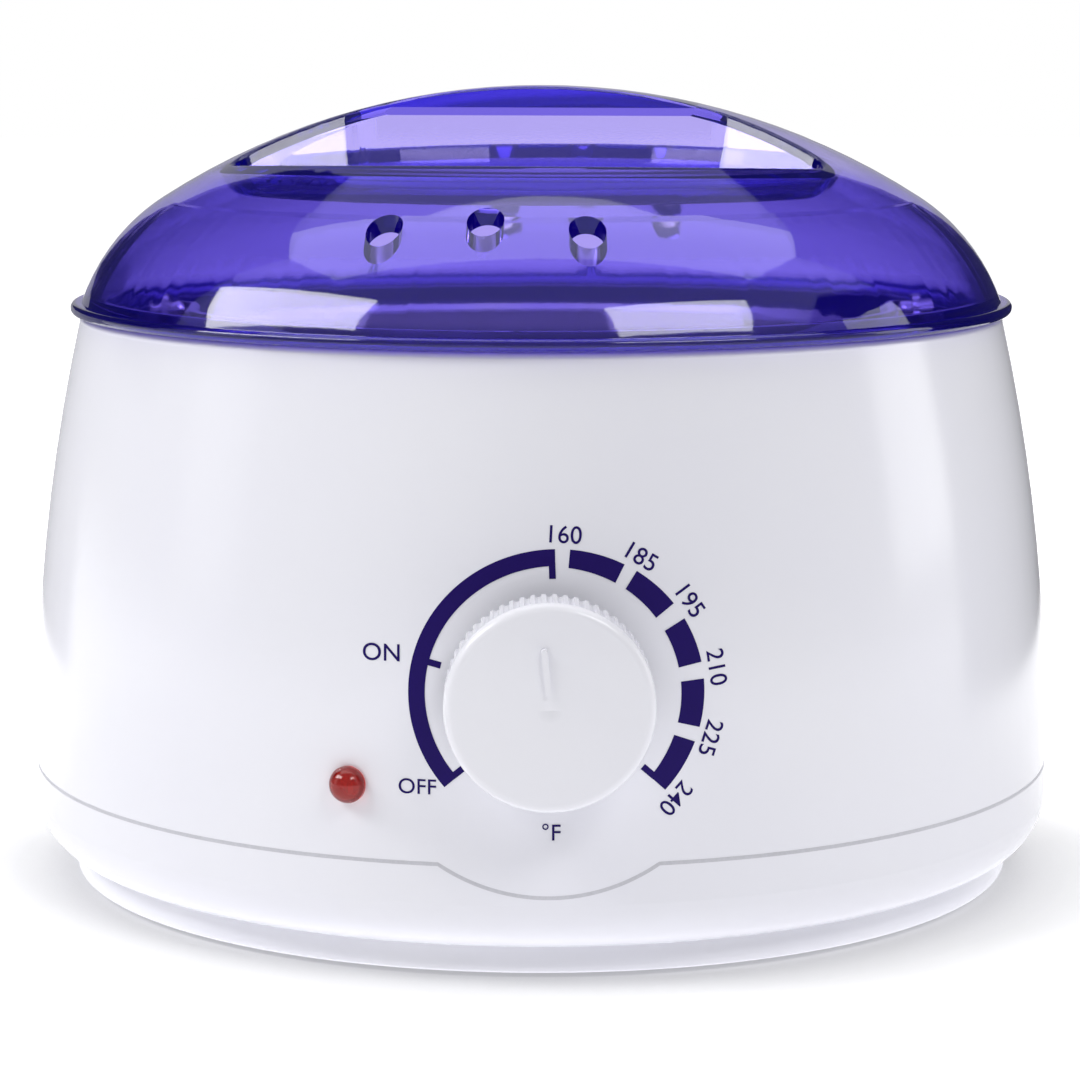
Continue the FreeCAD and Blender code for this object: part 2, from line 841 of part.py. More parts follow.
def make_well_brackets():
    """Three angles, welded to the well's wall and screwed up under the ledge, that hold the well down."""
    body = new_body("well_brackets")
    half = s.bracket_width / 2
    outer = bracket_screw_circle + s.bracket_width / 2
    foot_sketch = new_sketch(body, "foot_outline", "XY_Plane", bracket_low, BRACKET_START_ANGLE)
    draw_outline(foot_sketch, box_corners(band_inner, outer, -half, half))
    draw_circle(foot_sketch, bracket_screw_circle, ZERO, screw_hole)
    foot = extrude(body, "foot", foot_sketch, s.bracket_thickness)
    leg_sketch = new_sketch(body, "leg_outline", "XY_Plane", bracket_low, BRACKET_START_ANGLE)
    draw_outline(leg_sketch, box_corners(band_inner, band_inner + s.bracket_thickness, -half, half))
    leg = extrude(body, "leg", leg_sketch, s.bracket_rise)
    pattern_round(body, "brackets", [foot, leg], WELL_BRACKETS)
    return add_node(body, "well_brackets")


# Heater band, clamp screw and wrap

band_middle = (band_low + band_high) / 2
ear_hole = s.clamp_screw_radius + s.screw_clearance
clamp_line = band_outer + s.band_ear_length - s.clamp_screw_inset
TO_BACK = Placement(Vector(), Rotation(Vector(0, 0, 1), 90))


def make_heater_band():
    """A split mica band whose two ears stand out at the back, where a screw draws them together."""
    body = new_body("heater_blank")
    revolve(body, "band", box_corners(band_inner, band_outer, band_low, band_high))
    ear_sketch = new_sketch(body, "ear_outline", "XZ_Plane", s.band_gap / 2)
    ear_low = band_middle - s.band_ear_height / 2
    ear_high = band_middle + s.band_ear_height / 2
    ear_end = band_outer + s.band_ear_length
    draw_outline(ear_sketch, box_corners(band_inner + s.band_thickness / 2, ear_end, ear_low, ear_high))
    draw_circle(ear_sketch, clamp_line, band_middle, ear_hole)
    ear = extrude(body, "ear", ear_sketch, s.band_ear_thickness)
    mirror(body, "ears", [ear], "XZ_Plane")
    gap_sketch = new_sketch(body, "gap_outline", "XY_Plane", band_low)
    half_gap = s.band_gap / 2
    draw_outline(gap_sketch, box_corners(well_radius / 2, band_outer * OVERSHOOT, -half_gap, half_gap))
    extrude(body, "gap", gap_sketch, band_high - band_low, cut=True, reverse=True)
    body.Placement = TO_BACK
    return add_node(body, "heater_band")


def make_clamp_screw():
    half = s.band_gap / 2 + s.band_ear_thickness
    grip = half * 2
    x_head = -half - s.clamp_head_height
    spot = {"y": clamp_line, "z": band_middle, "along": "+X"}
    shank_length = grip + s.clamp_head_height * 2
    shank = cylinder("clamp_shank", s.clamp_screw_radius, shank_length, x=x_head, **spot)
    head = cylinder("clamp_head", s.clamp_head_radius, s.clamp_head_height, x=x_head, **spot)
    nut = doc.addObject("Part::Prism", "clamp_nut")
    nut.Polygon = 6
    bind(nut, Circumradius=s.clamp_head_radius, Height=s.clamp_head_height)
    place(nut, half, clamp_line, band_middle, TURNS["+X"])
    return add_node(fuse("band_clamp_screw", [shank, head, nut]), "band_clamp_screw")


def make_insulation_wrap():
    body = new_body("insulation_wrap")
    inner = band_outer + s.band_clearance
    outer = inner + s.wrap_thickness
    high = band_high + s.wrap_overhang
    revolve(body, "wrap", box_corners(inner, outer, wrap_low, high))
    gap_sketch = new_sketch(body, "gap_outline", "XY_Plane", wrap_low)
    half_gap = s.wrap_gap / 2
    draw_outline(gap_sketch, box_corners(well_radius / 2, outer * OVERSHOOT, -half_gap, half_gap))
    extrude(body, "gap", gap_sketch, high - wrap_low, cut=True, reverse=True)
    body.Placement = TO_BACK
    return add_node(body, "insulation_wrap")


# Thermostat


def make_thermostat_body():
    body = new_body("thermostat_body")
    half_width = s.thermostat_width / 2
    case_sketch = new_sketch(body, "case_outline", "XZ_Plane", thermostat_back)
    draw_outline(case_sketch, box_corners(-half_width, half_width, thermostat_low, thermostat_high))
    case = extrude(body, "case", case_sketch, thermostat_front - thermostat_back)

    def along_y(edge):
        return abs(edge.tangentAt(edge.FirstParameter).y) > 0.99

    round_edges(body, "case_corners", case, s.thermostat_round, along_y)
    collar_sketch = new_sketch(body, "collar_outline", "XZ_Plane", thermostat_front)
    draw_circle(collar_sketch, ZERO, s.dial_height, s.collar_radius)
    extrude(body, "collar", collar_sketch, collar_front - thermostat_front)
    bush_sketch = new_sketch(body, "bush_outline", "XZ_Plane", collar_front)
    draw_circle(bush_sketch, ZERO, s.dial_height, s.bush_radius)
    extrude(body, "bush", bush_sketch, bush_front - collar_front)
    bore_sketch = new_sketch(body, "bore_outline", "XZ_Plane", bush_front)
    draw_circle(bore_sketch, ZERO, s.dial_height, s.shaft_radius + s.shaft_clearance)
    depth = bush_front - shaft_back + s.shaft_end_gap
    extrude(body, "bore", bore_sketch, depth, cut=True)
    return add_node(body, "thermostat_body")


def make_thermostat_nut():
    body = new_body("thermostat_nut")
    sketch = new_sketch(body, "nut_outline", "XZ_Plane", nut_back)
    half = s.nut_flats / 2
    long_half = s.nut_flats / root(as_size(3.0))
    short_half = long_half / 2
    middle = s.dial_height
    draw_outline(
        sketch,
        [
            (long_half, middle),
            (short_half, middle + half),
            (-short_half, middle + half),
            (-long_half, middle),
            (-short_half, middle - half),
            (short_half, middle - half),
        ],
    )
    draw_circle(sketch, ZERO, middle, s.bush_radius + s.thread_clearance)
    extrude(body, "nut", sketch, s.nut_thickness)
    return add_node(body, "thermostat_nut")


def make_sensor_saddle():
    """A curved block that carries the well's heat to the back of the thermostat."""
    body = new_body("sensor_saddle")
    outer = thermostat_back - s.band_clearance
    low = s.dial_height + s.saddle_offset
    corners = box_corners(band_inner, outer, low, low + s.saddle_height)
    revolve(body, "saddle", corners, angle=s.saddle_angle)
    body.Placement = Placement(Vector(), Rotation(Vector(0, 0, 1), -90))
    return add_node(body, "sensor_saddle")


def make_thermostat_blades():
    body = new_body("thermostat_blades")
    half_width = s.blade_width / 2
    half_pitch = s.blade_pitch / 2
    middle = (thermostat_back + thermostat_front) / 2
    sketch = new_sketch(body, "blade_outline", "XZ_Plane", middle)
    low = thermostat_low - s.blade_length
    corners = box_corners(half_pitch - half_width, half_pitch + half_width, low, thermostat_low)
    draw_outline(sketch, corners)
    draw_circle(sketch, half_pitch, low + half_width, s.blade_hole_radius)
    blade = extrude(body, "blade", sketch, s.blade_thickness)
    mirror(body, "blades", [blade], "YZ_Plane")
    return add_node(body, "thermostat_blades")


# Dial


def make_thermostat_shaft():
    body = new_body("thermostat_shaft")
    front = knob_front - s.knob_wall - s.shaft_end_gap
    sketch = new_sketch(body, "shaft_outline", "XZ_Plane", shaft_back)
    draw_circle(sketch, ZERO, s.dial_height, s.shaft_radius)
    extrude(body, "shaft", sketch, front - shaft_back)
    flat_sketch = new_sketch(body, "flat_outline", "XZ_Plane", front)
    flat = s.dial_height + s.shaft_flat
    reach = s.shaft_radius * 2
    draw_outline(flat_sketch, box_corners(-reach, reach, flat, flat + reach))
    extrude(body, "flat", flat_sketch, front - bush_front - s.shaft_end_gap, cut=True)
    return add_node(body, "thermostat_shaft")


def make_knob():
    """A hollow cap about its own Z, with a knurled side, a hub for the flatted shaft and a pointer."""
    body = new_body("knob")
    cavity = s.knob_radius - s.knob_wall
    roof = s.knob_depth - s.knob_wall
    edge = s.knob_depth - s.knob_edge
    flat_radius = s.knob_radius - s.knob_edge
    crown = (flat_radius * flat_radius + s.knob_crown * s.knob_crown) / (s.knob_crown * 2)
    bore = s.shaft_radius + s.shaft_clearance
    revolve(
        body,
        "cap",
        [
            (cavity, ZERO),
            (s.knob_radius, ZERO),
            (s.knob_radius, edge, s.knob_edge),
            (flat_radius, s.knob_depth, crown),
            (ZERO, s.knob_depth + s.knob_crown),
            (ZERO, roof),
            (bore, roof),
            (bore, s.knob_hub_recess),
            (s.knob_hub_radius, s.knob_hub_recess),
            (s.knob_hub_radius, roof),
            (cavity, roof),
        ],
    )
    key_sketch = new_sketch(body, "key_outline", "XY_Plane", s.knob_hub_recess)
    flat = s.shaft_flat + s.shaft_clearance
    draw_outline(key_sketch, box_corners(-bore, bore, flat, bore + s.knurl_depth))
    extrude(body, "key", key_sketch, roof - s.knob_hub_recess)
    groove_sketch = new_sketch(body, "groove_outline", "XY_Plane")
    groove_line = s.knob_radius + s.knurl_groove_radius - s.knurl_depth
    draw_circle(groove_sketch, groove_line, ZERO, s.knurl_groove_radius)
    groove = extrude(body, "groove", groove_sketch, edge, cut=True, reverse=True)
    pattern_round(body, "knurl", [groove], int(s.knurl_count.value))
    pointer_sketch = new_sketch(body, "pointer_outline", "XY_Plane", roof, s.pointer_angle.value)
    middle = s.pointer_start + s.pointer_length / 2
    slot = slot_corners(ZERO, middle, s.pointer_width / 2, s.pointer_length / 2)
    draw_outline(pointer_sketch, slot)
    rise = s.knob_wall + s.knob_crown + s.pointer_height
    extrude(body, "pointer", pointer_sketch, rise)
    place(body, ZERO, -knob_back, s.dial_height, TURNS["-Y"])
    return add_node(body, "knob")


# Signal lamp, each piece turned about its own Z, which then points out of the wall


def make_lamp_lens():
    body = new_body("lamp_lens")
    dome = (s.lens_radius * s.lens_radius + s.lens_dome * s.lens_dome) / (s.lens_dome * 2)
    bore = s.lens_neck_radius - s.lens_wall
    low = -s.lens_neck_length
    revolve(
        body,
        "lens",
        [
            (bore, low),
            (s.lens_neck_radius, low),
            (s.lens_neck_radius, s.lens_clearance),
            (s.lens_radius, s.lens_clearance),
            (s.lens_radius, s.lens_flange, dome),
            (ZERO, s.lens_flange + s.lens_dome),
            (ZERO, s.lens_flange),
            (bore, s.lens_flange),
        ],
    )
    body.Placement = facing_lamp()
    return add_node(body, "lamp_lens")


def make_lamp_bulb():
    body = new_body("lamp_bulb")
    top = s.lens_flange - s.bulb_gap
    revolve(
        body,
        "bulb",
        [
            (ZERO, top - s.bulb_length),
            (s.bulb_radius, top - s.bulb_length),
            (s.bulb_radius, top - s.bulb_radius, s.bulb_radius),
            (ZERO, top),
        ],
    )
    body.Placement = facing_lamp()
    return add_node(body, "lamp_bulb")


def make_lamp_clip():
    body = new_body("lamp_clip")
    high = -s.wall - s.lens_clearance * 2
    low = high - s.clip_thickness
    inner = s.lens_neck_radius + s.thread_clearance
    revolve(body, "clip", box_corners(inner, s.clip_radius, low, high))
    body.Placement = facing_lamp()
    return add_node(body, "lamp_clip")


# Thermal fuse under the well

fuse_height = well_low - s.fuse_gap - s.fuse_radius


def make_thermal_fuse():
    start = -s.fuse_length / 2
    spot = {"y": s.fuse_offset, "z": fuse_height, "along": "+X"}
    barrel = cylinder("fuse_barrel", s.fuse_radius, s.fuse_length, x=start, **spot)
    pins_length = s.fuse_length + s.fuse_pin_length * 2
    pins = cylinder("fuse_pins", s.fuse_pin_radius, pins_length, x=start - s.fuse_pin_length, **spot)
    return add_node(fuse("thermal_fuse", [barrel, pins]), "thermal_fuse")


def make_fuse_clip():
    """A strap that bends under the fuse, with a foot on the well's underside at each side."""
    body = new_body("fuse_clip")
    inner = s.fuse_radius + s.fuse_gap
    outer = inner + s.fuse_clip_thickness
    foot_end = outer + s.fuse_clip_foot
    top = well_low
    foot_low = top - s.fuse_clip_thickness
    middle = s.fuse_offset
    sketch = new_sketch(body, "strap_outline", "YZ_Plane", -s.fuse_clip_width / 2)
    draw_outline(
        sketch,
        [
            (middle + foot_end, top),
            (middle + inner, top),
            (middle + inner, fuse_height, -inner),
            (middle, fuse_height - inner, -inner),
            (middle - inner, fuse_height),
            (middle - inner, top),
            (middle - foot_end, top),
            (middle - foot_end, foot_low),
            (middle - outer, foot_low),
            (middle - outer, fuse_height, outer),
            (middle, fuse_height - outer, outer),
            (middle + outer, fuse_height),
            (middle + outer, foot_low),
            (middle + foot_end, foot_low),
        ],
    )
    extrude(body, "strap", sketch, s.fuse_clip_width)
    return add_node(body, "fuse_clip")


# Terminal block on the base floor

block_offset = vent_slot_outer + s.block_gap + s.block_depth / 2
block_pitch = s.block_length / s.block_ways
block_top = floor_top + s.block_height
WAY_STEPS = (-1, 0, 1)


def make_terminal_block():
    body = new_body("terminal_block")
    half = s.block_length / 2
    depth = s.block_depth / 2
    sketch = new_sketch(body, "block_outline", "XY_Plane", floor_top)
    draw_outline(sketch, box_corners(-half, half, block_offset - depth, block_offset + depth))
    extrude(body, "block", sketch, s.block_height)
    well_sketch = new_sketch(body, "well_outline", "XY_Plane", block_top)
    for step in WAY_STEPS:
        draw_circle(well_sketch, block_pitch * step, block_offset, s.block_well_radius)
    extrude(body, "wells", well_sketch, s.block_well_depth, cut=True)
    return add_node(body, "terminal_block")


def make_terminal_screws():
    low = block_top - s.block_well_depth
    screws = [
        cylinder(
            f"terminal_screw_{index}",
            s.block_screw_radius,
            s.block_screw_height,
            x=block_pitch * step,
            y=block_offset,
            z=low,
        )
        for index, step in enumerate(WAY_STEPS, start=1)
    ]
    return add_node(group("terminal_screws", screws), "terminal_screws")


# Cord gland


def make_cord_gland():
    """A bush about its own Z, which points out at the back, with a square neck for the two shells' edges."""
    body = new_body("cord_gland")
    core = (s.gland_bore + s.gland_neck_half) / 2
    inner_face = lip_inner - s.seam_gap
    outer_face = s.body_radius + s.seam_gap
    nose = outer_face + s.gland_flange + s.gland_nose_length
    revolve(
        body,
        "bush",
        [
            (s.gland_bore, inner_face - s.gland_flange),
            (s.gland_flange_radius, inner_face - s.gland_flange),
            (s.gland_flange_radius, inner_face),
            (core, inner_face),
            (core, outer_face),
            (s.gland_flange_radius, outer_face),
            (s.gland_flange_radius, outer_face + s.gland_flange),
            (s.gland_nose_radius + s.gland_flange / 2, outer_face + s.gland_flange),
            (s.gland_nose_radius, nose),
            (s.gland_bore, nose),
        ],
    )
    half = s.gland_neck_half
    neck = new_sketch(body, "neck_outline", "XY_Plane", inner_face)
    draw_outline(neck, box_corners(-half, half, -half, half))
    draw_circle(neck, ZERO, ZERO, (s.gland_bore + core) / 2)
    extrude(body, "neck", neck, outer_face - inner_face)
    place(body, ZERO, ZERO, s.seam_height, TURNS["+Y"])
    return add_node(body, "cord_gland")


# Wax pot, ears and bail


def make_wax_pot():
    blank = new_body("pot_blank")
    inner = pot_radius - s.pot_wall
    inner_round = s.pot_round - s.pot_wall
    bead_top = pot_flange_low + s.pot_bead * 2
    revolve(
        blank,
        "pot_wall",
        [
            (ZERO, pot_low),
            (pot_radius - s.pot_round, pot_low, s.pot_round),
            (pot_radius, pot_low + s.pot_round),
            (pot_radius, pot_flange_low),
            (pot_flange_radius, pot_flange_low, s.pot_bead),
            (pot_flange_radius + s.pot_bead, pot_flange_low + s.pot_bead, s.pot_bead),
            (pot_flange_radius, bead_top),
            (pot_flange_radius - s.pot_bead, pot_flange_top),
            (inner, pot_flange_top),
            (inner, pot_low + s.pot_round, -inner_round),
            (pot_radius - s.pot_round, pot_low + s.pot_wall),
            (ZERO, pot_low + s.pot_wall),
        ],
    )
    holes = rivet_posts("pot_rivet_hole", rivet_hole, pot_flange_low, pot_flange_top)
    return add_node(cut("wax_pot", blank, fuse("pot_holes", holes)), "wax_pot")


rivet_line = ear_radius - s.ear_thickness / 2
rivet_hole = s.rivet_radius + s.rivet_clearance


def rivet_posts(name, radius, low, high):
    """Upright cylinders at the four rivets, two in each ear's foot."""
    spots = [(rivet_line * side, s.rivet_pitch / 2 * end) for side in (-1, 1) for end in (-1, 1)]
    return [
        cylinder(f"{name}_{index}", radius, high - low, x=x, y=y, z=low)
        for index, (x, y) in enumerate(spots, start=1)
    ]


def make_bail_ears():
    """A tab at each side that stands on the pot's flange and holds an end of the bail."""
    body = new_body("ear_blank")
    width = s.ear_half_width
    foot_sketch = new_sketch(body, "foot_outline", "XY_Plane", pot_flange_top)
    half_foot = s.ear_foot / 2
    low = rivet_line - half_foot
    high = rivet_line + half_foot
    draw_outline(foot_sketch, box_corners(low, high, -s.ear_foot_half_length, s.ear_foot_half_length))
    foot = extrude(body, "foot", foot_sketch, s.ear_thickness)
    tab_sketch = new_sketch(body, "tab_outline", "YZ_Plane", ear_radius - s.ear_thickness)
    reach = s.bail_wire_radius * 2
    draw_outline(
        tab_sketch,
        [
            (-width, ear_foot_top),
            (width, ear_foot_top),
            (reach, bail_height, reach),
            (ZERO, bail_height + reach, reach),
            (-reach, bail_height),
        ],
    )
    draw_circle(tab_sketch, ZERO, bail_height, s.bail_wire_radius + s.ear_hole_clearance)
    tab = extrude(body, "tab", tab_sketch, s.ear_thickness)
    mirror(body, "ears", [foot, tab], "YZ_Plane")
    holes = rivet_posts("ear_rivet_hole", rivet_hole, pot_flange_top, ear_foot_top)
    return add_node(cut("bail_ears", body, fuse("ear_holes", holes)), "bail_ears")


def make_ear_rivets():
    head_top = ear_foot_top + s.rivet_head_height
    shanks = rivet_posts("rivet_shank", s.rivet_radius, pot_flange_low, ear_foot_top)
    heads = rivet_posts("rivet_head", s.rivet_head_radius, ear_foot_top, head_top)
    pairs = zip(shanks, heads)
    rivets = [fuse(f"rivet_{index}", list(pair)) for index, pair in enumerate(pairs, start=1)]
    return add_node(group("ear_rivets", rivets), "ear_rivets")


def make_bail():
    body = new_body("bail")
    end = ear_radius + s.bail_end
    arm = ear_radius - s.bail_inset
    path = new_sketch(body, "bail_path", "XY_Plane", bail_height)
    draw_outline(
        path,
        [
            (end, ZERO),
            (arm + s.bail_bend, ZERO, s.bail_bend),
            (arm, -s.bail_bend, -arm),
            (ZERO, -arm - s.bail_bend, -arm),
            (-arm, -s.bail_bend, s.bail_bend),
            (-arm - s.bail_bend, ZERO),
            (-end, ZERO),
        ],
        closed=False,
    )
    section = new_sketch(body, "bail_section", "YZ_Plane", end)
    draw_circle(section, ZERO, bail_height, s.bail_wire_radius)
    wire = body.newObject("PartDesign::AdditivePipe", "bail_wire")
    wire.Profile = section
    wire.Spine = path
    return add_node(body, "bail")


# Lid


shoulder_centre_r = lid_foot_radius - s.lid_shoulder_radius * cosine(s.lid_foot_lean)
shoulder_centre_z = lid_flange_top - s.lid_shoulder_radius * sine(s.lid_foot_lean)


def crown_radius():
    """Radius of the arc that runs level over the lid's top and meets the shoulder arc smoothly."""
    shoulder = s.lid_shoulder_radius
    drop = lid_top - shoulder_centre_z
    reach = shoulder_centre_r * shoulder_centre_r + drop * drop - shoulder * shoulder
    return reach / ((drop - shoulder) * 2)


lid_crown_radius = crown_radius()
crown_centre_z = lid_top - lid_crown_radius
scoop_floor = lid_top - s.scoop_depth
scoop_front = lid_foot_radius - s.scoop_rim
steam_row = lid_foot_radius - s.steam_inset
steam_low = lid_low + s.steam_rise


def dome_arcs(inset):
    """The lid's dome, an inset inside its outer face: its foot, shoulder arc, break point and crown arc."""
    crown = lid_crown_radius - inset
    shoulder = s.lid_shoulder_radius - inset
    share = crown / (lid_crown_radius - s.lid_shoulder_radius)
    break_z = crown_centre_z + (shoulder_centre_z - crown_centre_z) * share

    def foot(height):
        drop = height - shoulder_centre_z
        return shoulder_centre_r + root(shoulder * shoulder - drop * drop)

    return foot, shoulder, (shoulder_centre_r * share, break_z), crown


def scoop_outline(sketch, inset):
    """A smooth D with splayed ends: a flat along the grip bar, then at each end a corner arc, a splayed
    facet and a tip arc, and a front arc about a point behind the lid's axis."""
    bar = s.scoop_bar_half - inset
    corner = s.scoop_corner + inset
    tip = s.scoop_tip_round + inset
    front = scoop_front + s.scoop_front_shift + inset
    half = scoop_front - s.scoop_flat_inset
    splay = radians(s.scoop_splay.value)
    along, across = Vector(cos(splay), sin(splay)), Vector(-sin(splay), cos(splay))
    front_centre = Vector(0, -s.scoop_front_shift.value)
    facet = Vector(half.value, bar.value + corner.value) - across * corner.value
    gap = facet + across * tip.value - front_centre
    ahead = gap.dot(along)
    run = sqrt(ahead**2 - gap.dot(gap) + (front.value - tip.value) ** 2) - ahead
    leave = front_centre + (gap + along * run).normalize() * front.value
    right = [Vector(half.value, bar.value), facet, facet + along * run, leave]
    points = right + [Vector(-point.x, point.y) for point in reversed(right)]
    radii = [corner, None, tip, front, tip, None, corner, None]
    for index, radius in enumerate(radii):
        ends = points[index], points[(index + 1) % len(points)]
        if radius is None:
            sketch.addGeometry(Part.LineSegment(*ends), False)
        else:
            sketch.addGeometry(arc_between(*((end.x, end.y) for end in ends), radius.value), False)
            limit = Sketcher.Constraint("Radius", index, radius.value)
            sketch.setExpression(f"Constraints[{sketch.addConstraint(limit)}]", radius.formula)
    pin_point(sketch, 7, 1, -half, bar)
    pin_point(sketch, 7, 2, half, bar)
    pin_point(sketch, 3, 3, ZERO, -s.scoop_front_shift)
    for facet_line, sign in ((1, 1), (5, -1)):
        limit = Sketcher.Constraint("Angle", facet_line, sign * splay)
        formula = f"{sign} * {s.scoop_splay.formula} * 1 deg"
        sketch.setExpression(f"Constraints[{sketch.addConstraint(limit)}]", formula)
    for index in range(len(points)):
        sketch.addConstraint(Sketcher.Constraint("Tangent", index, 2, (index + 1) % len(points), 1))


def cut_scoops(body, inset):
    """Two finger scoops that leave the grip bar between them: leaning walls, and a round where they
    meet the floor."""
    floor = scoop_floor - inset
    sketch = new_sketch(body, "scoop_outline", "XY_Plane", floor)
    scoop_outline(sketch, inset * (as_size(1) - sine(s.scoop_lean)) / cosine(s.scoop_lean))
    scoop = extrude(body, "scoop", sketch, lid_top - floor + s.lid_wall, cut=True, reverse=True)
    bind(scoop, TaperAngle=s.scoop_lean)
    both = mirror(body, "scoops", [scoop], "XZ_Plane")
    level = floor.value

    def on_floor(edge):
        box = edge.BoundBox
        return abs(box.ZMin - level) < 1e-4 and abs(box.ZMax - level) < 1e-4 and box.DiagonalLength > 1

    return round_edges(body, "scoop_floor_round", both, s.scoop_round + inset, on_floor)


def round_scoop_lips(body, feature):
    """Soften the lip where each scoop's wall leaves the crown."""
    centre = Vector(0, 0, crown_centre_z.value)
    reach = lid_foot_radius.value - s.steam_inset.value

    def on_lip(edge):
        points = edge.discretize(5)
        on_crown = all(abs((point - centre).Length - lid_crown_radius.value) < 1e-3 for point in points)
        return on_crown and all(hypot(point.x, point.y) < reach for point in points)

    return round_edges(body, "scoop_lip_round", feature, s.scoop_lip_round, on_lip)


def steam_rows():
    """Upright holes through the dome's shoulder, in a straight row beyond each scoop."""
    body = new_body("steam_rows")
    sketch = new_sketch(body, "steam_outline", "XY_Plane", steam_low)
    for step in range(STEAM_HOLES):
        x = s.steam_pitch * (step - (STEAM_HOLES - 1) / 2)
        draw_circle(sketch, x, steam_row, s.steam_radius)
    row = extrude(body, "row", sketch, lid_top - steam_low)
    mirror(body, "rows", [row], "XZ_Plane")
    return body


def make_lid():
    """A domed shell: the outer form with scoops and steam holes, less the hollow that follows it inside."""
    outer = new_body("lid_outer")
    _, shoulder, break_point, crown = dome_arcs(ZERO)
    edge = s.lid_flange_round
    skirt = rim_inner_radius - s.lid_skirt_clearance
    skirt_low = lid_low - s.lid_skirt_depth
    revolve(
        outer,
        "dome",
        [
            (ZERO, skirt_low),
            (skirt, skirt_low),
            (skirt, lid_low),
            (lid_flange_radius - edge, lid_low, edge),
            (lid_flange_radius, lid_low + edge),
            (lid_flange_radius, lid_flange_top - edge, edge),
            (lid_flange_radius - edge, lid_flange_top),
            (lid_foot_radius, lid_flange_top, shoulder),
            (*break_point, crown),
            (ZERO, lid_top),
        ],
    )
    round_scoop_lips(outer, cut_scoops(outer, ZERO))

    hollow = new_body("lid_hollow")
    foot, shoulder, break_point, crown = dome_arcs(s.lid_wall)
    shelf = lid_low + s.lid_shelf
    roof = lid_top - s.lid_roof
    roof_rise = roof - crown_centre_z
    bore = skirt - s.lid_skirt_thickness
    revolve(
        hollow,
        "hollow",
        [
            (ZERO, skirt_low),
            (bore, skirt_low),
            (bore, shelf),
            (foot(shelf), shelf, shoulder),
            (*break_point, crown),
            (root(crown * crown - roof_rise * roof_rise), roof),
            (ZERO, roof),
        ],
    )
    cut_scoops(hollow, s.lid_wall)
    lid = cut("lid", cut("lid_shell", outer, hollow), steam_rows())
    lid.Placement = Placement(Vector(), Rotation(Vector(0, 0, 1), s.lid_yaw.value))
    return add_node(lid, "lid")


def build():
    make_upper_housing()
    make_base_pan()
    make_rubber_feet()
    seat = s.screw_seat
    pan_head_screws("base_screws", screw_circle, seat, s.screw_length, BASE_SCREWS, SCREW_START_ANGLE)
    make_heating_well()
    make_well_gasket()
    make_well_brackets()
    length = s.bracket_screw_length
    circle = bracket_screw_circle
    pan_head_screws("bracket_screws", circle, bracket_low, length, WELL_BRACKETS, BRACKET_START_ANGLE)
    make_heater_band()
    make_clamp_screw()
    make_insulation_wrap()
    make_thermostat_body()
    make_thermostat_nut()
    make_sensor_saddle()
    make_thermostat_blades()
    make_thermostat_shaft()
    make_knob()
    make_lamp_lens()
    make_lamp_bulb()
    make_lamp_clip()
    make_thermal_fuse()
    make_fuse_clip()
    make_terminal_block()
    make_terminal_screws()
    make_cord_gland()
    make_wax_pot()
    make_bail_ears()
    make_ear_rivets()
    make_bail()
    make_lid()


def check():
    """Stop if any object of the document failed or any sub-part has no valid solid."""
    doc.recompute()
    failed = [item.Label for item in doc.Objects if {"Invalid", "Error"} & set(item.State)]
    if failed:
        raise RuntimeError("failed objects: " + ", ".join(failed))
    for item in nodes:
        if item.Shape.isNull() or not item.Shape.isValid() or not item.Shape.Solids:
            raise RuntimeError("no valid solid: " + item.Label)


def export():
    os.makedirs("parts", exist_ok=True)
    for item in nodes:
        item.Shape.exportStep(f"parts/{item.Label}.step")


build()
check()
export()
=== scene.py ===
import math

import bpy
import numpy as np
from bpy.props import FloatProperty, FloatVectorProperty, PointerProperty
from mathutils import Matrix


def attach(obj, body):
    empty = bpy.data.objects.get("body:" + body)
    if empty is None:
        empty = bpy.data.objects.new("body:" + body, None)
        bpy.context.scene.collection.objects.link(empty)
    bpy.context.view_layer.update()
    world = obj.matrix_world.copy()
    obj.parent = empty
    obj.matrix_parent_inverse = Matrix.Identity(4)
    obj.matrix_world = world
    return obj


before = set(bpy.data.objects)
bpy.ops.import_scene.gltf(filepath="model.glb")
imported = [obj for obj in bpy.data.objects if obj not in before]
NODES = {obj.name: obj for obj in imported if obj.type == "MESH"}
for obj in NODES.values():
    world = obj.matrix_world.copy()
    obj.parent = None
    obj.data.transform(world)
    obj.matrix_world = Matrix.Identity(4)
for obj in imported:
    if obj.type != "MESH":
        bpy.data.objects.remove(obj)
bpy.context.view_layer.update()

bl_info = {
    "name": "Wax Warmer Pot",
    "version": (1, 0, 0),
    "blender": (4, 5, 0),
    "location": "3D View > Sidebar > Warmer",
    "description": "Finishes, printed dial scale and studio for a wax warmer pot with a tinted lid",
    "category": "Object",
}

MM = 0.001
SHARP_ANGLE = math.radians(35)


# Sizes and colours

def length(name, description, default):
    """A size in metres that a user would change."""
    return FloatProperty(name=name, description=description, default=default, unit="LENGTH", precision=5)


def angle(name, description, degrees):
    """An angle that a user would change, given here in degrees."""
    return FloatProperty(name=name, description=description, default=math.radians(degrees), subtype="ANGLE")


def share(name, description, default):
    """A plain number from nought to one."""
    return FloatProperty(name=name, description=description, default=default, min=0.0, max=1.0)


def colour(name, description, default):
    """A linear colour that a user would change."""
    return FloatVectorProperty(
        name=name, description=description, default=default, size=3, min=0.0, max=1.0, subtype="COLOR")


def power(name, description, default):
    """A lamp's power in watts."""
    return FloatProperty(name=name, description=description, default=default, min=0.0, unit="POWER")


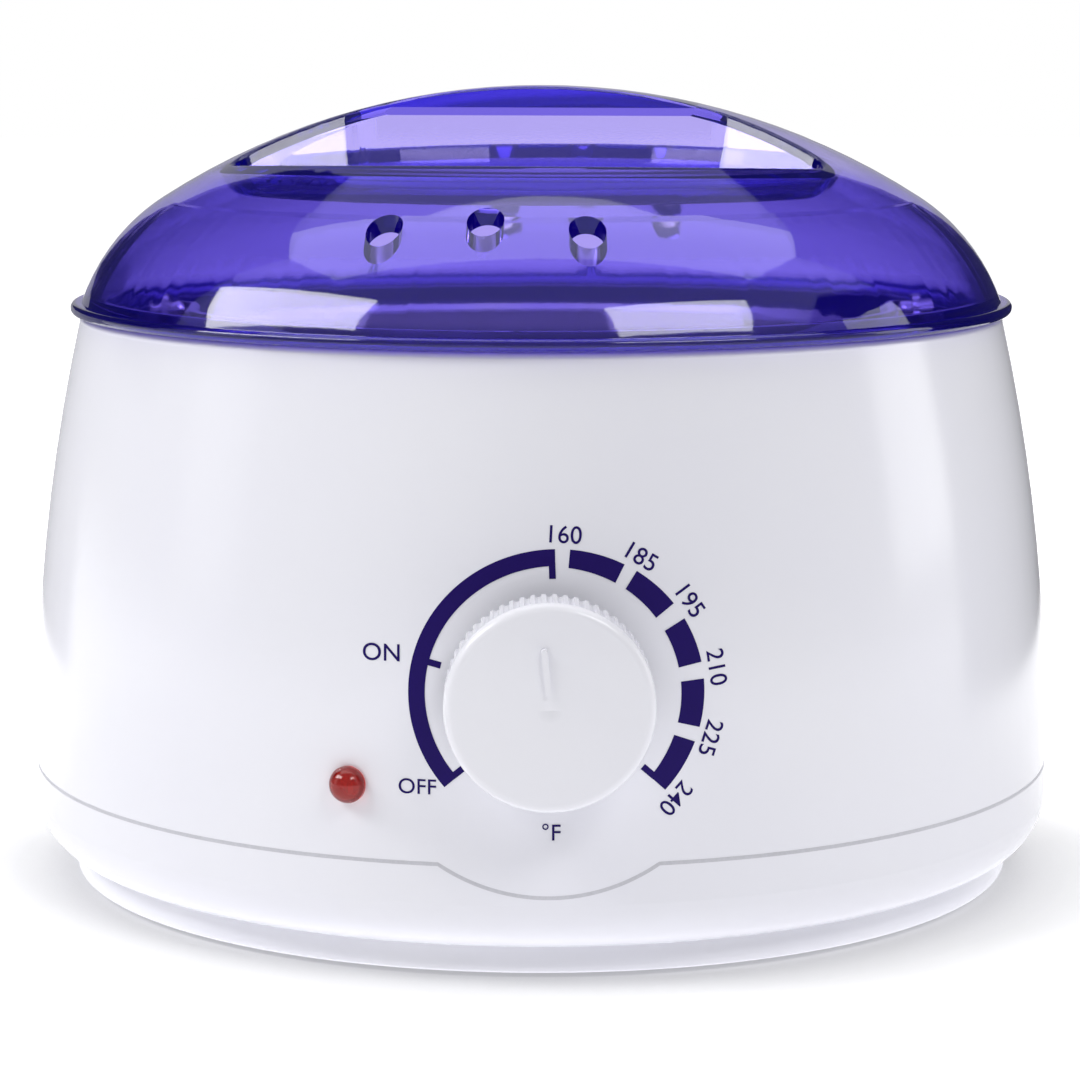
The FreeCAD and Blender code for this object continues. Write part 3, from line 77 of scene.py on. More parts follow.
class WarmerFinish(bpy.types.PropertyGroup):
    """Colours and gloss of the warmer's materials."""
    shell_white: colour("Shell white", "Colour of the moulded housing and base", (0.80, 0.80, 0.845))
    knob_white: colour("Knob white", "Colour of the dial knob", (0.80, 0.80, 0.84))
    # The seam band's grey is painted shade of the groove between housing and base.
    seam_shade_grey: colour("Seal grey", "Colour of the seal between housing and base", (0.56, 0.56, 0.61))
    lid_violet: colour("Lid violet", "Tint that the dome's faces give", (0.52, 0.45, 0.87))
    bar_violet: colour("Bar violet", "Paler tint of the grip bar's thin walls", (0.90, 0.87, 0.985))
    rim_violet: colour("Rim violet", "Deeper tint of the flange, which is seen edge-on", (0.18, 0.13, 0.50))
    lid_depth: colour("Lid depth", "Tint that deepens with the lid's thickness", (0.185, 0.046, 0.846))
    lid_density: FloatProperty(name="Lid density", description="How fast the tint deepens", default=130.0)
    # The lid glows faintly blue: a painted glow that stands in for light scattered in the plastic.
    lid_haze: colour("Lid haze", "Light that the tinted plastic scatters", (0.03, 0.0, 1.0))
    lid_scatter: share("Lid scatter", "Strength of the scattered light", 0.022)
    ink_indigo: colour("Scale ink", "Colour of the printed dial scale", (0.012, 0.003, 0.105))
    lamp_red: colour("Lamp red", "Tint of the signal lamp's lens", (0.80, 0.03, 0.02))
    lamp_clear: share("Lamp clear", "How much of the lens is see-through", 0.8)
    pot_aluminium: colour("Pot aluminium", "Colour of the lift-out pot", (0.66, 0.66, 0.675))
    well_aluminium: colour("Well aluminium", "Colour of the heating well", (0.66, 0.66, 0.68))
    bright_steel: colour("Bright steel", "Colour of screws, bail and clips", (0.62, 0.61, 0.59))
    foot_rubber: colour("Foot rubber", "Colour of the rubber feet", (0.035, 0.035, 0.038))
    shell_gloss: share("Shell roughness", "Roughness of the polished white mouldings", 0.16)
    lid_gloss: share("Lid roughness", "Roughness of the polished lid", 0.03)


class DialScale(bpy.types.PropertyGroup):
    """Sizes of the scale that is printed round the dial."""
    centre_side: length("Centre, sideways", "The scale's centre from the shell's middle", 1.25 * MM)
    centre_height: length("Centre, height", "The scale's centre above the table", 48.05 * MM)
    reach_side: length("Reach, sideways", "Outer half-width of the scale", 23.55 * MM)
    reach_up: length("Reach, upwards", "Outer half-height of the scale", 22.95 * MM)
    line_width: length("Line width", "Width of the plain run from OFF to the first number", 2.65 * MM)
    block_width: length("Block width", "Greatest width of the heat blocks", 3.75 * MM)
    tick_length: length("Tick length", "How far a tick stands in from the band", 2.0 * MM)
    tick_width: length("Tick width", "Width of a tick", 1.05 * MM)
    proud: length("Ink height", "How far the ink stands off the shell", 0.035 * MM)
    sunk: length("Ink depth", "How far the ink reaches into the shell", 0.03 * MM)
    figure_height: length("Figure height", "Height of the numbers", 2.75 * MM)
    figure_gap: length("Figure gap", "From the band to the middle of the numbers", 2.3 * MM)


class SeamLine(bpy.types.PropertyGroup):
    """Course of the seam between housing and base, and the grey band that lies in it, painted shade of the
    seam's groove.
    """
    middle_height: length("Middle height", "Middle of the seam's gap above the table", 20.5 * MM)
    dial_height: length("Dial height", "Centre of the tongue's arc above the table", 48.0 * MM)
    tongue_radius: length("Tongue radius", "From the dial's axis to the middle of the gap", 32.7 * MM)
    # The band is grey: painted shade of the seam's groove.
    seal_width: length("Seal width", "Width of the seal's face", 0.62 * MM)
    seal_depth: length("Seal depth", "How far the seal reaches into the gap", 0.3 * MM)
    seal_proud: length("Seal proud", "How far the seal stands off the housing's face", 0.012 * MM)


class FootFlare(bpy.types.PropertyGroup):
    """The foot's flared lip, a ring round the base's foot."""
    fold_radius: length("Fold radius", "Radius where the lip comes out from under the base", 85.1 * MM)
    fold_height: length("Fold height", "Height of that fold above the table", 5.27 * MM)
    lip_radius: length("Lip radius", "Greatest radius of the lip", 85.8 * MM)
    lip_height: length("Lip height", "Underside of the lip above the table", 0.9 * MM)
    lip_round: length("Lip round", "Rounding of the lip's lower edge", 0.5 * MM)
    back_radius: length("Back radius", "Inner radius, within the base's wall", 81.2 * MM)


class ScrewDrive(bpy.types.PropertyGroup):
    """Cross recesses of the screws under the base, as flat dark crosses of painted shade."""
    circle: length("Circle", "From the axis to a screw", 74.5 * MM)
    height: length("Height", "Underside of a screw's head above the table", 5.8 * MM)
    arm: length("Arm", "Half the length of a recess arm", 1.5 * MM)
    width: length("Width", "Width of a recess arm", 0.62 * MM)
    # The dark cross stands off the head's face: painted shade in place of a sunk recess.
    proud: length("Proud", "How far the dark recess face stands off the head", 0.015 * MM)


class StageSet(bpy.types.PropertyGroup):
    """Camera, floor and lamps."""
    lens: FloatProperty(
        name="Lens", description="Focal length on a 36 mm sensor", default=111.19, unit="CAMERA")
    stand_off: length("Stand-off", "Level distance from the warmer's axis to the camera", 0.60899)
    eye_height: length("Eye height", "The camera's height above the table", 0.15262)
    turn: angle("Turn", "How far the camera stands to the left of the dial", 0.75)
    aim: angle("Aim", "How far the camera points beside the axis", 0.0223)
    tilt: angle("Tilt", "How far the camera looks down", 8.766)
    left_power: power("Left power", "Power of the left softbox", 5.4)
    right_power: power("Right power", "Power of the right softbox", 3.3)
    left_strip_power: power("Left strip power", "Power of the low strip on the left", 0.45)
    right_strip_power: power("Right strip power", "Power of the low strip on the right", 1.8)
    top_power: power("Top power", "Power of the overhead softbox", 5.4)
    room_light: share("Room light", "Strength of the even light around", 0.12)
    gloss_light: share("Gloss light", "Strength of the white background as gloss shows it", 0.35)
    floor_glow: share("Floor glow", "Light that the floor adds close to the warmer", 0.36)
    floor_gloss: share("Floor gloss", "Strength of the white floor as gloss shows it", 0.5)
    # The floor glows for diffuse rays, strongest round the foot: painted light that stands in for light
    # thrown back.
    foot_bounce: share("Foot bounce", "Light that the floor throws back close to the foot", 0.7)
    floor_bounce: share("Floor bounce", "Light that it throws back further out", 0.22)
    # The shadow where the base meets the floor is painted: occlusion darkens the floor for the camera.
    contact: length("Contact", "How far the shadow where the base meets the floor reaches", 0.021)


# Mesh helpers

def grid_quads(rows, columns, close_rows=False, close_columns=False):
    """Corner numbers of the quads between neighbouring points of a rows by columns grid."""
    i, j = np.meshgrid(np.arange(rows if close_rows else rows - 1),
                       np.arange(columns if close_columns else columns - 1), indexing="ij")
    k, m = (i + 1) % rows, (j + 1) % columns
    return np.stack([i * columns + j, i * columns + m, k * columns + m, k * columns + j], -1).reshape(-1, 4)


def new_piece(name, points, faces, body, material, smooth=True):
    """A mesh object from arrays of points in metres and faces, finished and riding on a body."""
    mesh = bpy.data.meshes.new(name)
    mesh.from_pydata(points.reshape(-1, 3), [], faces if isinstance(faces, list) else faces.tolist())
    mesh.update()
    if smooth:
        mesh.shade_smooth()
        mesh.set_sharp_from_angle(angle=SHARP_ANGLE)
    return dress(bpy.data.objects.new(name, mesh), body, material)


def dress(piece, body, material):
    """Links a piece, gives it its material and slot and lets it ride on a body."""
    bpy.context.scene.collection.objects.link(piece)
    piece.data.materials.append(material)
    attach(piece, body)
    return piece


def join_grids(parts):
    """One list of points and one of faces from several (points, faces) pairs."""
    points, faces, start = [], [], 0
    for own_points, own_faces in parts:
        own_points = own_points.reshape(-1, 3)
        points.append(own_points)
        faces += [[int(n) + start for n in face] for face in own_faces]
        start += len(own_points)
    return np.concatenate(points), faces


def swept_loop(rings):
    """A closed solid from loops of points set one behind the other: quads between neighbouring
    loops, and one many-sided face on the first and on the last loop."""
    count, around = rings.shape[:2]
    faces = grid_quads(count, around, close_columns=True).tolist()
    faces.append(list(range(around))[::-1])
    faces.append([(count - 1) * around + n for n in range(around)])
    return rings.reshape(-1, 3), faces


# The shell's outer face, which carries the printed scale

SEAM_HEIGHT = 20.7 * MM
BODY_RADIUS = 92.8 * MM
BULGE_RADIUS = 348.0 * MM


def shell_radius(height):
    """Radius of the housing at a height: upright up to the seam, and above it the bulge, an arc
    that starts upright there."""
    rise = np.maximum(height - SEAM_HEIGHT, 0.0)
    return BODY_RADIUS - BULGE_RADIUS + np.sqrt(BULGE_RADIUS ** 2 - rise ** 2)


def on_shell(side, height, off):
    """Points on the front of the housing, seen straight from the front at (side, height), moved
    off the face along its normal."""
    radius = shell_radius(height)
    front = -np.sqrt(radius ** 2 - side ** 2)
    rise = np.maximum(height - SEAM_HEIGHT, 0.0)
    lean = rise / np.sqrt(BULGE_RADIUS ** 2 - rise ** 2)
    normal = np.stack(np.broadcast_arrays(side / radius, front / radius, lean), -1)
    normal = normal / np.linalg.norm(normal, axis=-1, keepdims=True)
    return np.stack(np.broadcast_arrays(side, front, height), -1) + normal * np.asarray(off)[..., None]


# Shader node helpers

def link(tree, source, target):
    """Joins an output socket to an input socket."""
    tree.links.new(source, target)


def feed(tree, value, socket):
    """Gives an input socket its value, which is an output socket or a plain number or colour."""
    if hasattr(value, "is_output"):
        link(tree, value, socket)
    else:
        socket.default_value = value


def sums(tree, operation, *values):
    """A math node of sockets or numbers."""
    node = tree.nodes.new("ShaderNodeMath")
    node.operation = operation
    for socket, value in zip(node.inputs, values):
        feed(tree, value, socket)
    return node.outputs[0]


def noise(tree, vector, scale, detail=2.0, roughness=0.5):
    """A noise texture on a vector socket."""
    node = tree.nodes.new("ShaderNodeTexNoise")
    node.inputs["Detail"].default_value = detail
    node.inputs["Roughness"].default_value = roughness
    link(tree, vector, node.inputs["Vector"])
    feed(tree, scale, node.inputs["Scale"])
    return node.outputs["Fac"]


def axes(tree, vector):
    """The x, y and z of a vector socket."""
    node = tree.nodes.new("ShaderNodeSeparateXYZ")
    link(tree, vector, node.inputs[0])
    return tuple(node.outputs)


def spread(tree, value, low, high):
    """Carries a value from nought to one over to the range from low to high."""
    node = tree.nodes.new("ShaderNodeMapRange")
    link(tree, value, node.inputs["Value"])
    feed(tree, low, node.inputs["To Min"])
    feed(tree, high, node.inputs["To Max"])
    return node.outputs["Result"]


def swing(tree, value, middle, low, high):
    """Lets a value from nought to one carry a middle between a low and a high share of itself."""
    return spread(tree, value, sums(tree, "MULTIPLY", middle, low), sums(tree, "MULTIPLY", middle, high))


def blend(tree, first, second, part):
    """A part of the first value and the rest of the second, added up."""
    return sums(tree, "MULTIPLY_ADD", first, part, sums(tree, "MULTIPLY", second, 1.0 - part))


def soft_step(tree, value, first, last):
    """Nought below the first value, one above the last, and a soft rise between."""
    node = tree.nodes.new("ShaderNodeMapRange")
    node.interpolation_type = "SMOOTHSTEP"
    node.inputs["From Min"].default_value = first
    node.inputs["From Max"].default_value = last
    link(tree, value, node.inputs["Value"])
    return node.outputs["Result"]


def mix_colours(tree, part, first, second, way="MIX"):
    """Two colours mixed, with the second's part given."""
    node = tree.nodes.new("ShaderNodeMix")
    node.data_type = "RGBA"
    node.blend_type = way
    for name, value in (("Factor", part), ("A", first), ("B", second)):
        feed(tree, value, node.inputs[name])
    return node.outputs["Result"]


# Shader node groups

def new_group(name, inputs, outputs):
    """An empty shader node group with named sockets, and its input and output nodes."""
    group = bpy.data.node_groups.new(name, "ShaderNodeTree")
    for socket, kind, default in inputs:
        made = group.interface.new_socket(name=socket, in_out="INPUT", socket_type=kind)
        if default is not None:
            made.default_value = default
    for socket, kind in outputs:
        group.interface.new_socket(name=socket, in_out="OUTPUT", socket_type=kind)
    return group, group.nodes.new("NodeGroupInput"), group.nodes.new("NodeGroupOutput")


def moulded_skin_group():
    """Polished moulding: a slow ripple in the face, fine specks in the gloss and a faint drift of
    colour."""
    group, into, out = new_group(
        "moulded_skin",
        [("Vector", "NodeSocketVector", None), ("Colour", "NodeSocketColor", (0.8, 0.8, 0.8, 1.0)),
         ("Tint", "NodeSocketColor", (0.7, 0.7, 0.75, 1.0)), ("Gloss", "NodeSocketFloat", 0.16)],
        [("Colour", "NodeSocketColor"), ("Roughness", "NodeSocketFloat"), ("Height", "NodeSocketFloat")])
    where = into.outputs["Vector"]
    ripple = noise(group, where, scale=95.0, detail=1.0)
    specks = noise(group, where, scale=2600.0, detail=3.0, roughness=0.6)
    cloud = noise(group, where, scale=26.0, detail=3.0, roughness=0.55)
    drift = spread(group, cloud, low=0.0, high=0.35)
    link(group, mix_colours(group, drift, into.outputs["Colour"], into.outputs["Tint"]), out.inputs["Colour"])
    blotch = blend(group, cloud, specks, part=0.5)
    link(group, swing(group, blotch, into.outputs["Gloss"], low=0.8, high=1.25), out.inputs["Roughness"])
    link(group, blend(group, ripple, specks, part=0.9), out.inputs["Height"])
    return group


def spun_metal_group():
    """Spun sheet: fine rings about the upright axis that follow the radius on flat faces and the
    height on walls, and a slow drift of the gloss."""
    group, into, out = new_group(
        "spun_metal",
        [("Vector", "NodeSocketVector", None), ("Pitch", "NodeSocketFloat", 900.0),
         ("Gloss", "NodeSocketFloat", 0.3)],
        [("Shade", "NodeSocketFloat"), ("Roughness", "NodeSocketFloat"), ("Height", "NodeSocketFloat")])
    x, y, z = axes(group, into.outputs["Vector"])
    radius = sums(group, "SQRT", sums(group, "MULTIPLY_ADD", x, x, sums(group, "MULTIPLY", y, y)))
    along = group.nodes.new("ShaderNodeCombineXYZ")
    link(group, radius, along.inputs["X"])
    link(group, z, along.inputs["Y"])
    rings = noise(group, along.outputs[0], into.outputs["Pitch"], detail=3.0, roughness=0.7)
    broad = noise(group, into.outputs["Vector"], scale=40.0)
    mixed = blend(group, rings, broad, part=0.65)
    link(group, swing(group, mixed, into.outputs["Gloss"], low=0.65, high=1.35), out.inputs["Roughness"])
    link(group, spread(group, mixed, low=0.86, high=1.06), out.inputs["Shade"])
    link(group, rings, out.inputs["Height"])
    return group


# Scale of the grain's coarse half, as a share of the fine one
COARSE_SHARE = 0.07


def fine_grain_group():
    """Even grain at two scales, for rubber, rolled steel, fibre and pressed board."""
    group, into, out = new_group(
        "fine_grain",
        [("Vector", "NodeSocketVector", None), ("Scale", "NodeSocketFloat", 1500.0),
         ("Gloss", "NodeSocketFloat", 0.5)],
        [("Shade", "NodeSocketFloat"), ("Roughness", "NodeSocketFloat"), ("Height", "NodeSocketFloat")])
    where, scale = into.outputs["Vector"], into.outputs["Scale"]
    fine = noise(group, where, scale, detail=4.0, roughness=0.65)
    coarse = noise(group, where, sums(group, "MULTIPLY", scale, COARSE_SHARE))
    mixed = blend(group, fine, coarse, part=0.6)
    link(group, swing(group, mixed, into.outputs["Gloss"], low=0.7, high=1.3), out.inputs["Roughness"])
    link(group, spread(group, mixed, low=0.75, high=1.15), out.inputs["Shade"])
    link(group, fine, out.inputs["Height"])
    return group


# Materials

def new_material(name):
    """An empty node material: its tree, its Principled shader and its Object coordinates."""
    material = bpy.data.materials.new(name)
    material.use_nodes = True
    tree = material.node_tree
    shader = tree.nodes["Principled BSDF"]
    coordinates = tree.nodes.new("ShaderNodeTexCoord")
    return material, tree, shader, coordinates.outputs["Object"]


def place_group(tree, maker, vector, **values):
    """A node that holds a shader node group, made once for all materials."""
    name = maker.__name__.removesuffix("_group")
    node = tree.nodes.new("ShaderNodeGroup")
    node.node_tree = bpy.data.node_groups.get(name) or maker()
    link(tree, vector, node.inputs["Vector"])
    for socket, value in values.items():
        node.inputs[socket].default_value = value
    return node


def bump(tree, shader, height, distance):
    """Lets a height tilt the shader's normal."""
    node = tree.nodes.new("ShaderNodeBump")
    node.inputs["Distance"].default_value = distance
    link(tree, height, node.inputs["Height"])
    link(tree, node.outputs["Normal"], shader.inputs["Normal"])


def shaded_colour(tree, shade, base):
    """A colour made lighter and darker by a value that changes over the surface."""
    return mix_colours(tree, 1.0, (*base, 1.0), shade, way="MULTIPLY")


def moulded_plastic(name, base, gloss, ripple=0.00002, cloud=(0.9, 0.9, 1.0), index=1.5, clear=0.0):
    """A polished moulding, rippled and faintly clouded by a share of its colour, and see-through as far
    as it is clear."""
    material, tree, shader, where = new_material(name)
    tint = [own * part for own, part in zip(base, cloud)]
    skin = place_group(tree, moulded_skin_group, where, Colour=(*base, 1.0), Tint=(*tint, 1.0), Gloss=gloss)
    link(tree, skin.outputs["Colour"], shader.inputs["Base Color"])
    link(tree, skin.outputs["Roughness"], shader.inputs["Roughness"])
    bump(tree, shader, skin.outputs["Height"], ripple)
    shader.inputs["IOR"].default_value = index
    shader.inputs["Transmission Weight"].default_value = clear
    return material


def tinted_clear(name, base, gloss, ripple=0.00001, index=1.49, clear=1.0):
    """A see-through tinted moulding."""
    return moulded_plastic(name, base, gloss, ripple, cloud=(0.93, 0.93, 0.93), index=index, clear=clear)


# Depth of the rings in spun metal
RING_DEPTH = 0.012 * MM


def spun_metal(name, base, gloss, pitch):
    """Spun or turned metal."""
    material, tree, shader, where = new_material(name)
    spun = place_group(tree, spun_metal_group, where, Pitch=pitch, Gloss=gloss)
    link(tree, shaded_colour(tree, spun.outputs["Shade"], base), shader.inputs["Base Color"])
    link(tree, spun.outputs["Roughness"], shader.inputs["Roughness"])
    shader.inputs["Metallic"].default_value = 1.0
    bump(tree, shader, spun.outputs["Height"], RING_DEPTH)
    return material


def grained(name, base, gloss, scale, depth, metallic=0.0, level=0.5):
    """A material with an even grain; the level is how much of the plain shine it keeps."""
    material, tree, shader, where = new_material(name)
    grain = place_group(tree, fine_grain_group, where, Scale=scale, Gloss=gloss)
    link(tree, shaded_colour(tree, grain.outputs["Shade"], base), shader.inputs["Base Color"])
    link(tree, grain.outputs["Roughness"], shader.inputs["Roughness"])
    shader.inputs["Metallic"].default_value = metallic
    shader.inputs["Specular IOR Level"].default_value = level
    bump(tree, shader, grain.outputs["Height"], depth)
    return material


# Heights over which the lid's tint changes, from the flange to the dome and from the dome to the bar
RIM_BLEND = (103.8 * MM, 106.0 * MM)
BAR_BLEND = (125.5 * MM, 129.5 * MM)


def lid_plastic(finish):
    """The lid's plastic: its tint deepens with thickness, is deeper in the flange and paler where the
    grip bar's walls are thin, and a faint painted glow stands in for the light that scatters within."""
    material = tinted_clear("lid_violet", finish.lid_violet, finish.lid_gloss)
    tree = material.node_tree
    shader = tree.nodes["Principled BSDF"]
    dome = shader.inputs["Base Color"].links[0].from_socket
    _, _, height = axes(tree, tree.nodes["Texture Coordinate"].outputs["Object"])
    below = sums(tree, "SUBTRACT", 1.0, soft_step(tree, height, *RIM_BLEND))
    lower = mix_colours(tree, below, dome, (*finish.rim_violet, 1.0))
    upper = soft_step(tree, height, *BAR_BLEND)
    link(tree, mix_colours(tree, upper, lower, (*finish.bar_violet, 1.0)), shader.inputs["Base Color"])
    # Painted glow: a faint emission that stands in for light scattered in the plastic.
    shader.inputs["Emission Color"].default_value = (*finish.lid_haze, 1.0)
    shader.inputs["Emission Strength"].default_value = finish.lid_scatter
    depth = tree.nodes.new("ShaderNodeVolumeAbsorption")
    depth.inputs["Color"].default_value = (*finish.lid_depth, 1.0)
    depth.inputs["Density"].default_value = finish.lid_density
    link(tree, depth.outputs["Volume"], tree.nodes["Material Output"].inputs["Volume"])
    return material


def finish_node(node, material):
    """Puts a material in every slot of a CAD node."""
    slots = NODES[node].material_slots
    if not slots:
        raise RuntimeError(f"{node} has no material slot")
    for slot in slots:
        slot.material = material


# Stage helpers

def background_seen(tree, in_gloss):
    """One for rays that show the white background, from the camera and through the lid, and a share of
    one in gloss."""
    path = tree.nodes.new("ShaderNodeLightPath")
    gloss = sums(tree, "MULTIPLY", path.outputs["Is Glossy Ray"], in_gloss)
    return sums(tree, "MAXIMUM", path.outputs["Is Camera Ray"],
                sums(tree, "MAXIMUM", gloss, path.outputs["Is Transmission Ray"]))


def aim(thing, at, towards, along=None):
    """Places a lamp or camera and points its own -Z at a point; its own X lies along a direction, or
    level."""
    back = np.subtract(at, towards)
    back /= np.linalg.norm(back)
    side = np.cross((0.0, 0.0, 1.0), back) if along is None else along - back * np.dot(along, back)
    side /= np.linalg.norm(side)
    thing.location = at
    thing.rotation_euler = Matrix((side, np.cross(back, side), back)).transposed().to_euler()


# Operators

class WARMER_OT_shell(bpy.types.Operator):
    """Finish the white housing and the base, and add the grey band in the seam, painted shade of its groove,
    and the foot's flared lip
    """
    bl_idname = "warmer.shell"
    bl_label = "Shell"

    # Points along the seam's level run, along the tongue's arc and round the foot
    LEVEL_POINTS = 360
    TONGUE_POINTS = 60
    FOOT_POINTS = 240
    # Points down the foot's slope and round its lower edge
    SLOPE_POINTS = 5
    EDGE_POINTS = 8

    def seam_shade_band(self, seam):
        """A grey band in the seam, painted shade of its groove: a small closed rectangle carried round the
        housing at the middle of the gap, level at the sides and back and along the tongue's arc under the
        dial."""
        half = math.sqrt(seam.tongue_radius ** 2 - (seam.dial_height - seam.middle_height) ** 2)
        start = math.asin(half / BODY_RADIUS)
        swing = math.asin(half / seam.tongue_radius)
        level = np.linspace(start, 2.0 * math.pi - start, self.LEVEL_POINTS, endpoint=False)
        along = np.linspace(-swing, swing, self.TONGUE_POINTS, endpoint=False)
        turn = np.concatenate([level, np.arcsin(seam.tongue_radius * np.sin(along) / BODY_RADIUS)])
        height = np.concatenate([np.full(len(level), seam.middle_height),
                                 seam.dial_height - seam.tongue_radius * np.cos(along)])
        outward = np.stack([np.sin(turn), -np.cos(turn), np.zeros_like(turn)], -1)
        path = outward * BODY_RADIUS
        path[:, 2] = height
        ahead = np.roll(path, -1, axis=0) - np.roll(path, 1, axis=0)
        across = np.cross(outward, ahead)
        across /= np.linalg.norm(across, axis=-1, keepdims=True)
        corners = np.array([(-0.5, 0.0), (0.5, 0.0), (0.5, 1.0), (-0.5, 1.0)])
        side = corners[None, :, :1] * seam.seal_width
        down = corners[None, :, 1:] * seam.seal_depth - seam.seal_proud
        rings = path[:, None] + across[:, None] * side - outward[:, None] * down
        return rings, grid_quads(*rings.shape[:2], close_rows=True, close_columns=True)[:, ::-1]

    def foot_flare(self, flare):
        """The foot's lip, turned about the axis: a straight slope from the fold out to the lip, a quarter
        round at its lower edge, and a flat underside back into the base's wall."""
        swing = np.linspace(0.0, 0.5 * math.pi, self.EDGE_POINTS)
        middle = flare.lip_radius - flare.lip_round
        edge = flare.lip_height + flare.lip_round
        down = np.linspace(0.0, 1.0, self.SLOPE_POINTS, endpoint=False)
        slope = [flare.fold_radius + down * (flare.lip_radius - flare.fold_radius),
                 flare.fold_height + down * (edge - flare.fold_height)]
        bend = [middle + flare.lip_round * np.cos(swing), edge - flare.lip_round * np.sin(swing)]
        inner = [(flare.back_radius, flare.back_radius), (flare.lip_height, flare.fold_height)]
        radius, height = (np.concatenate(run) for run in zip(slope, bend, inner))
        turn = np.linspace(0.0, 2.0 * math.pi, self.FOOT_POINTS, endpoint=False)[:, None]
        points = np.stack(np.broadcast_arrays(radius * np.cos(turn), radius * np.sin(turn), height), -1)
        return points, grid_quads(*points.shape[:2], close_rows=True, close_columns=True)

    def execute(self, context):
        finish = context.scene.warmer_finish
        white = moulded_plastic("white_shell", finish.shell_white, finish.shell_gloss)
        finish_node("upper_housing", white)
        finish_node("base_pan", white)
        rubber = grained("foot_rubber", finish.foot_rubber, gloss=0.75, scale=1400.0, depth=0.03 * MM)
        finish_node("rubber_feet", rubber)
        points, faces = self.seam_shade_band(context.scene.warmer_seam)
        # Grey band in the seam: painted shade of its groove.
        grey = grained("seam_shade_grey", finish.seam_shade_grey, gloss=0.5, scale=1800.0, depth=0.004 * MM)
        new_piece("seam_shade_band", points, faces, "housing", grey)
        points, faces = self.foot_flare(context.scene.warmer_flare)
        new_piece("foot_flare", points, faces, "housing", white)
        return {"FINISHED"}


class WARMER_OT_lid(bpy.types.Operator):
    """Finish the tinted lid"""
    bl_idname = "warmer.lid"
    bl_label = "Lid"

    def execute(self, context):
        finish_node("lid", lid_plastic(context.scene.warmer_finish))
        return {"FINISHED"}


class WARMER_OT_knob(bpy.types.Operator):
    """Finish the dial knob"""
    bl_idname = "warmer.knob"
    bl_label = "Knob"

    def execute(self, context):
        finish = context.scene.warmer_finish
        finish_node("knob", moulded_plastic("white_knob", finish.knob_white, gloss=0.22))
        return {"FINISHED"}


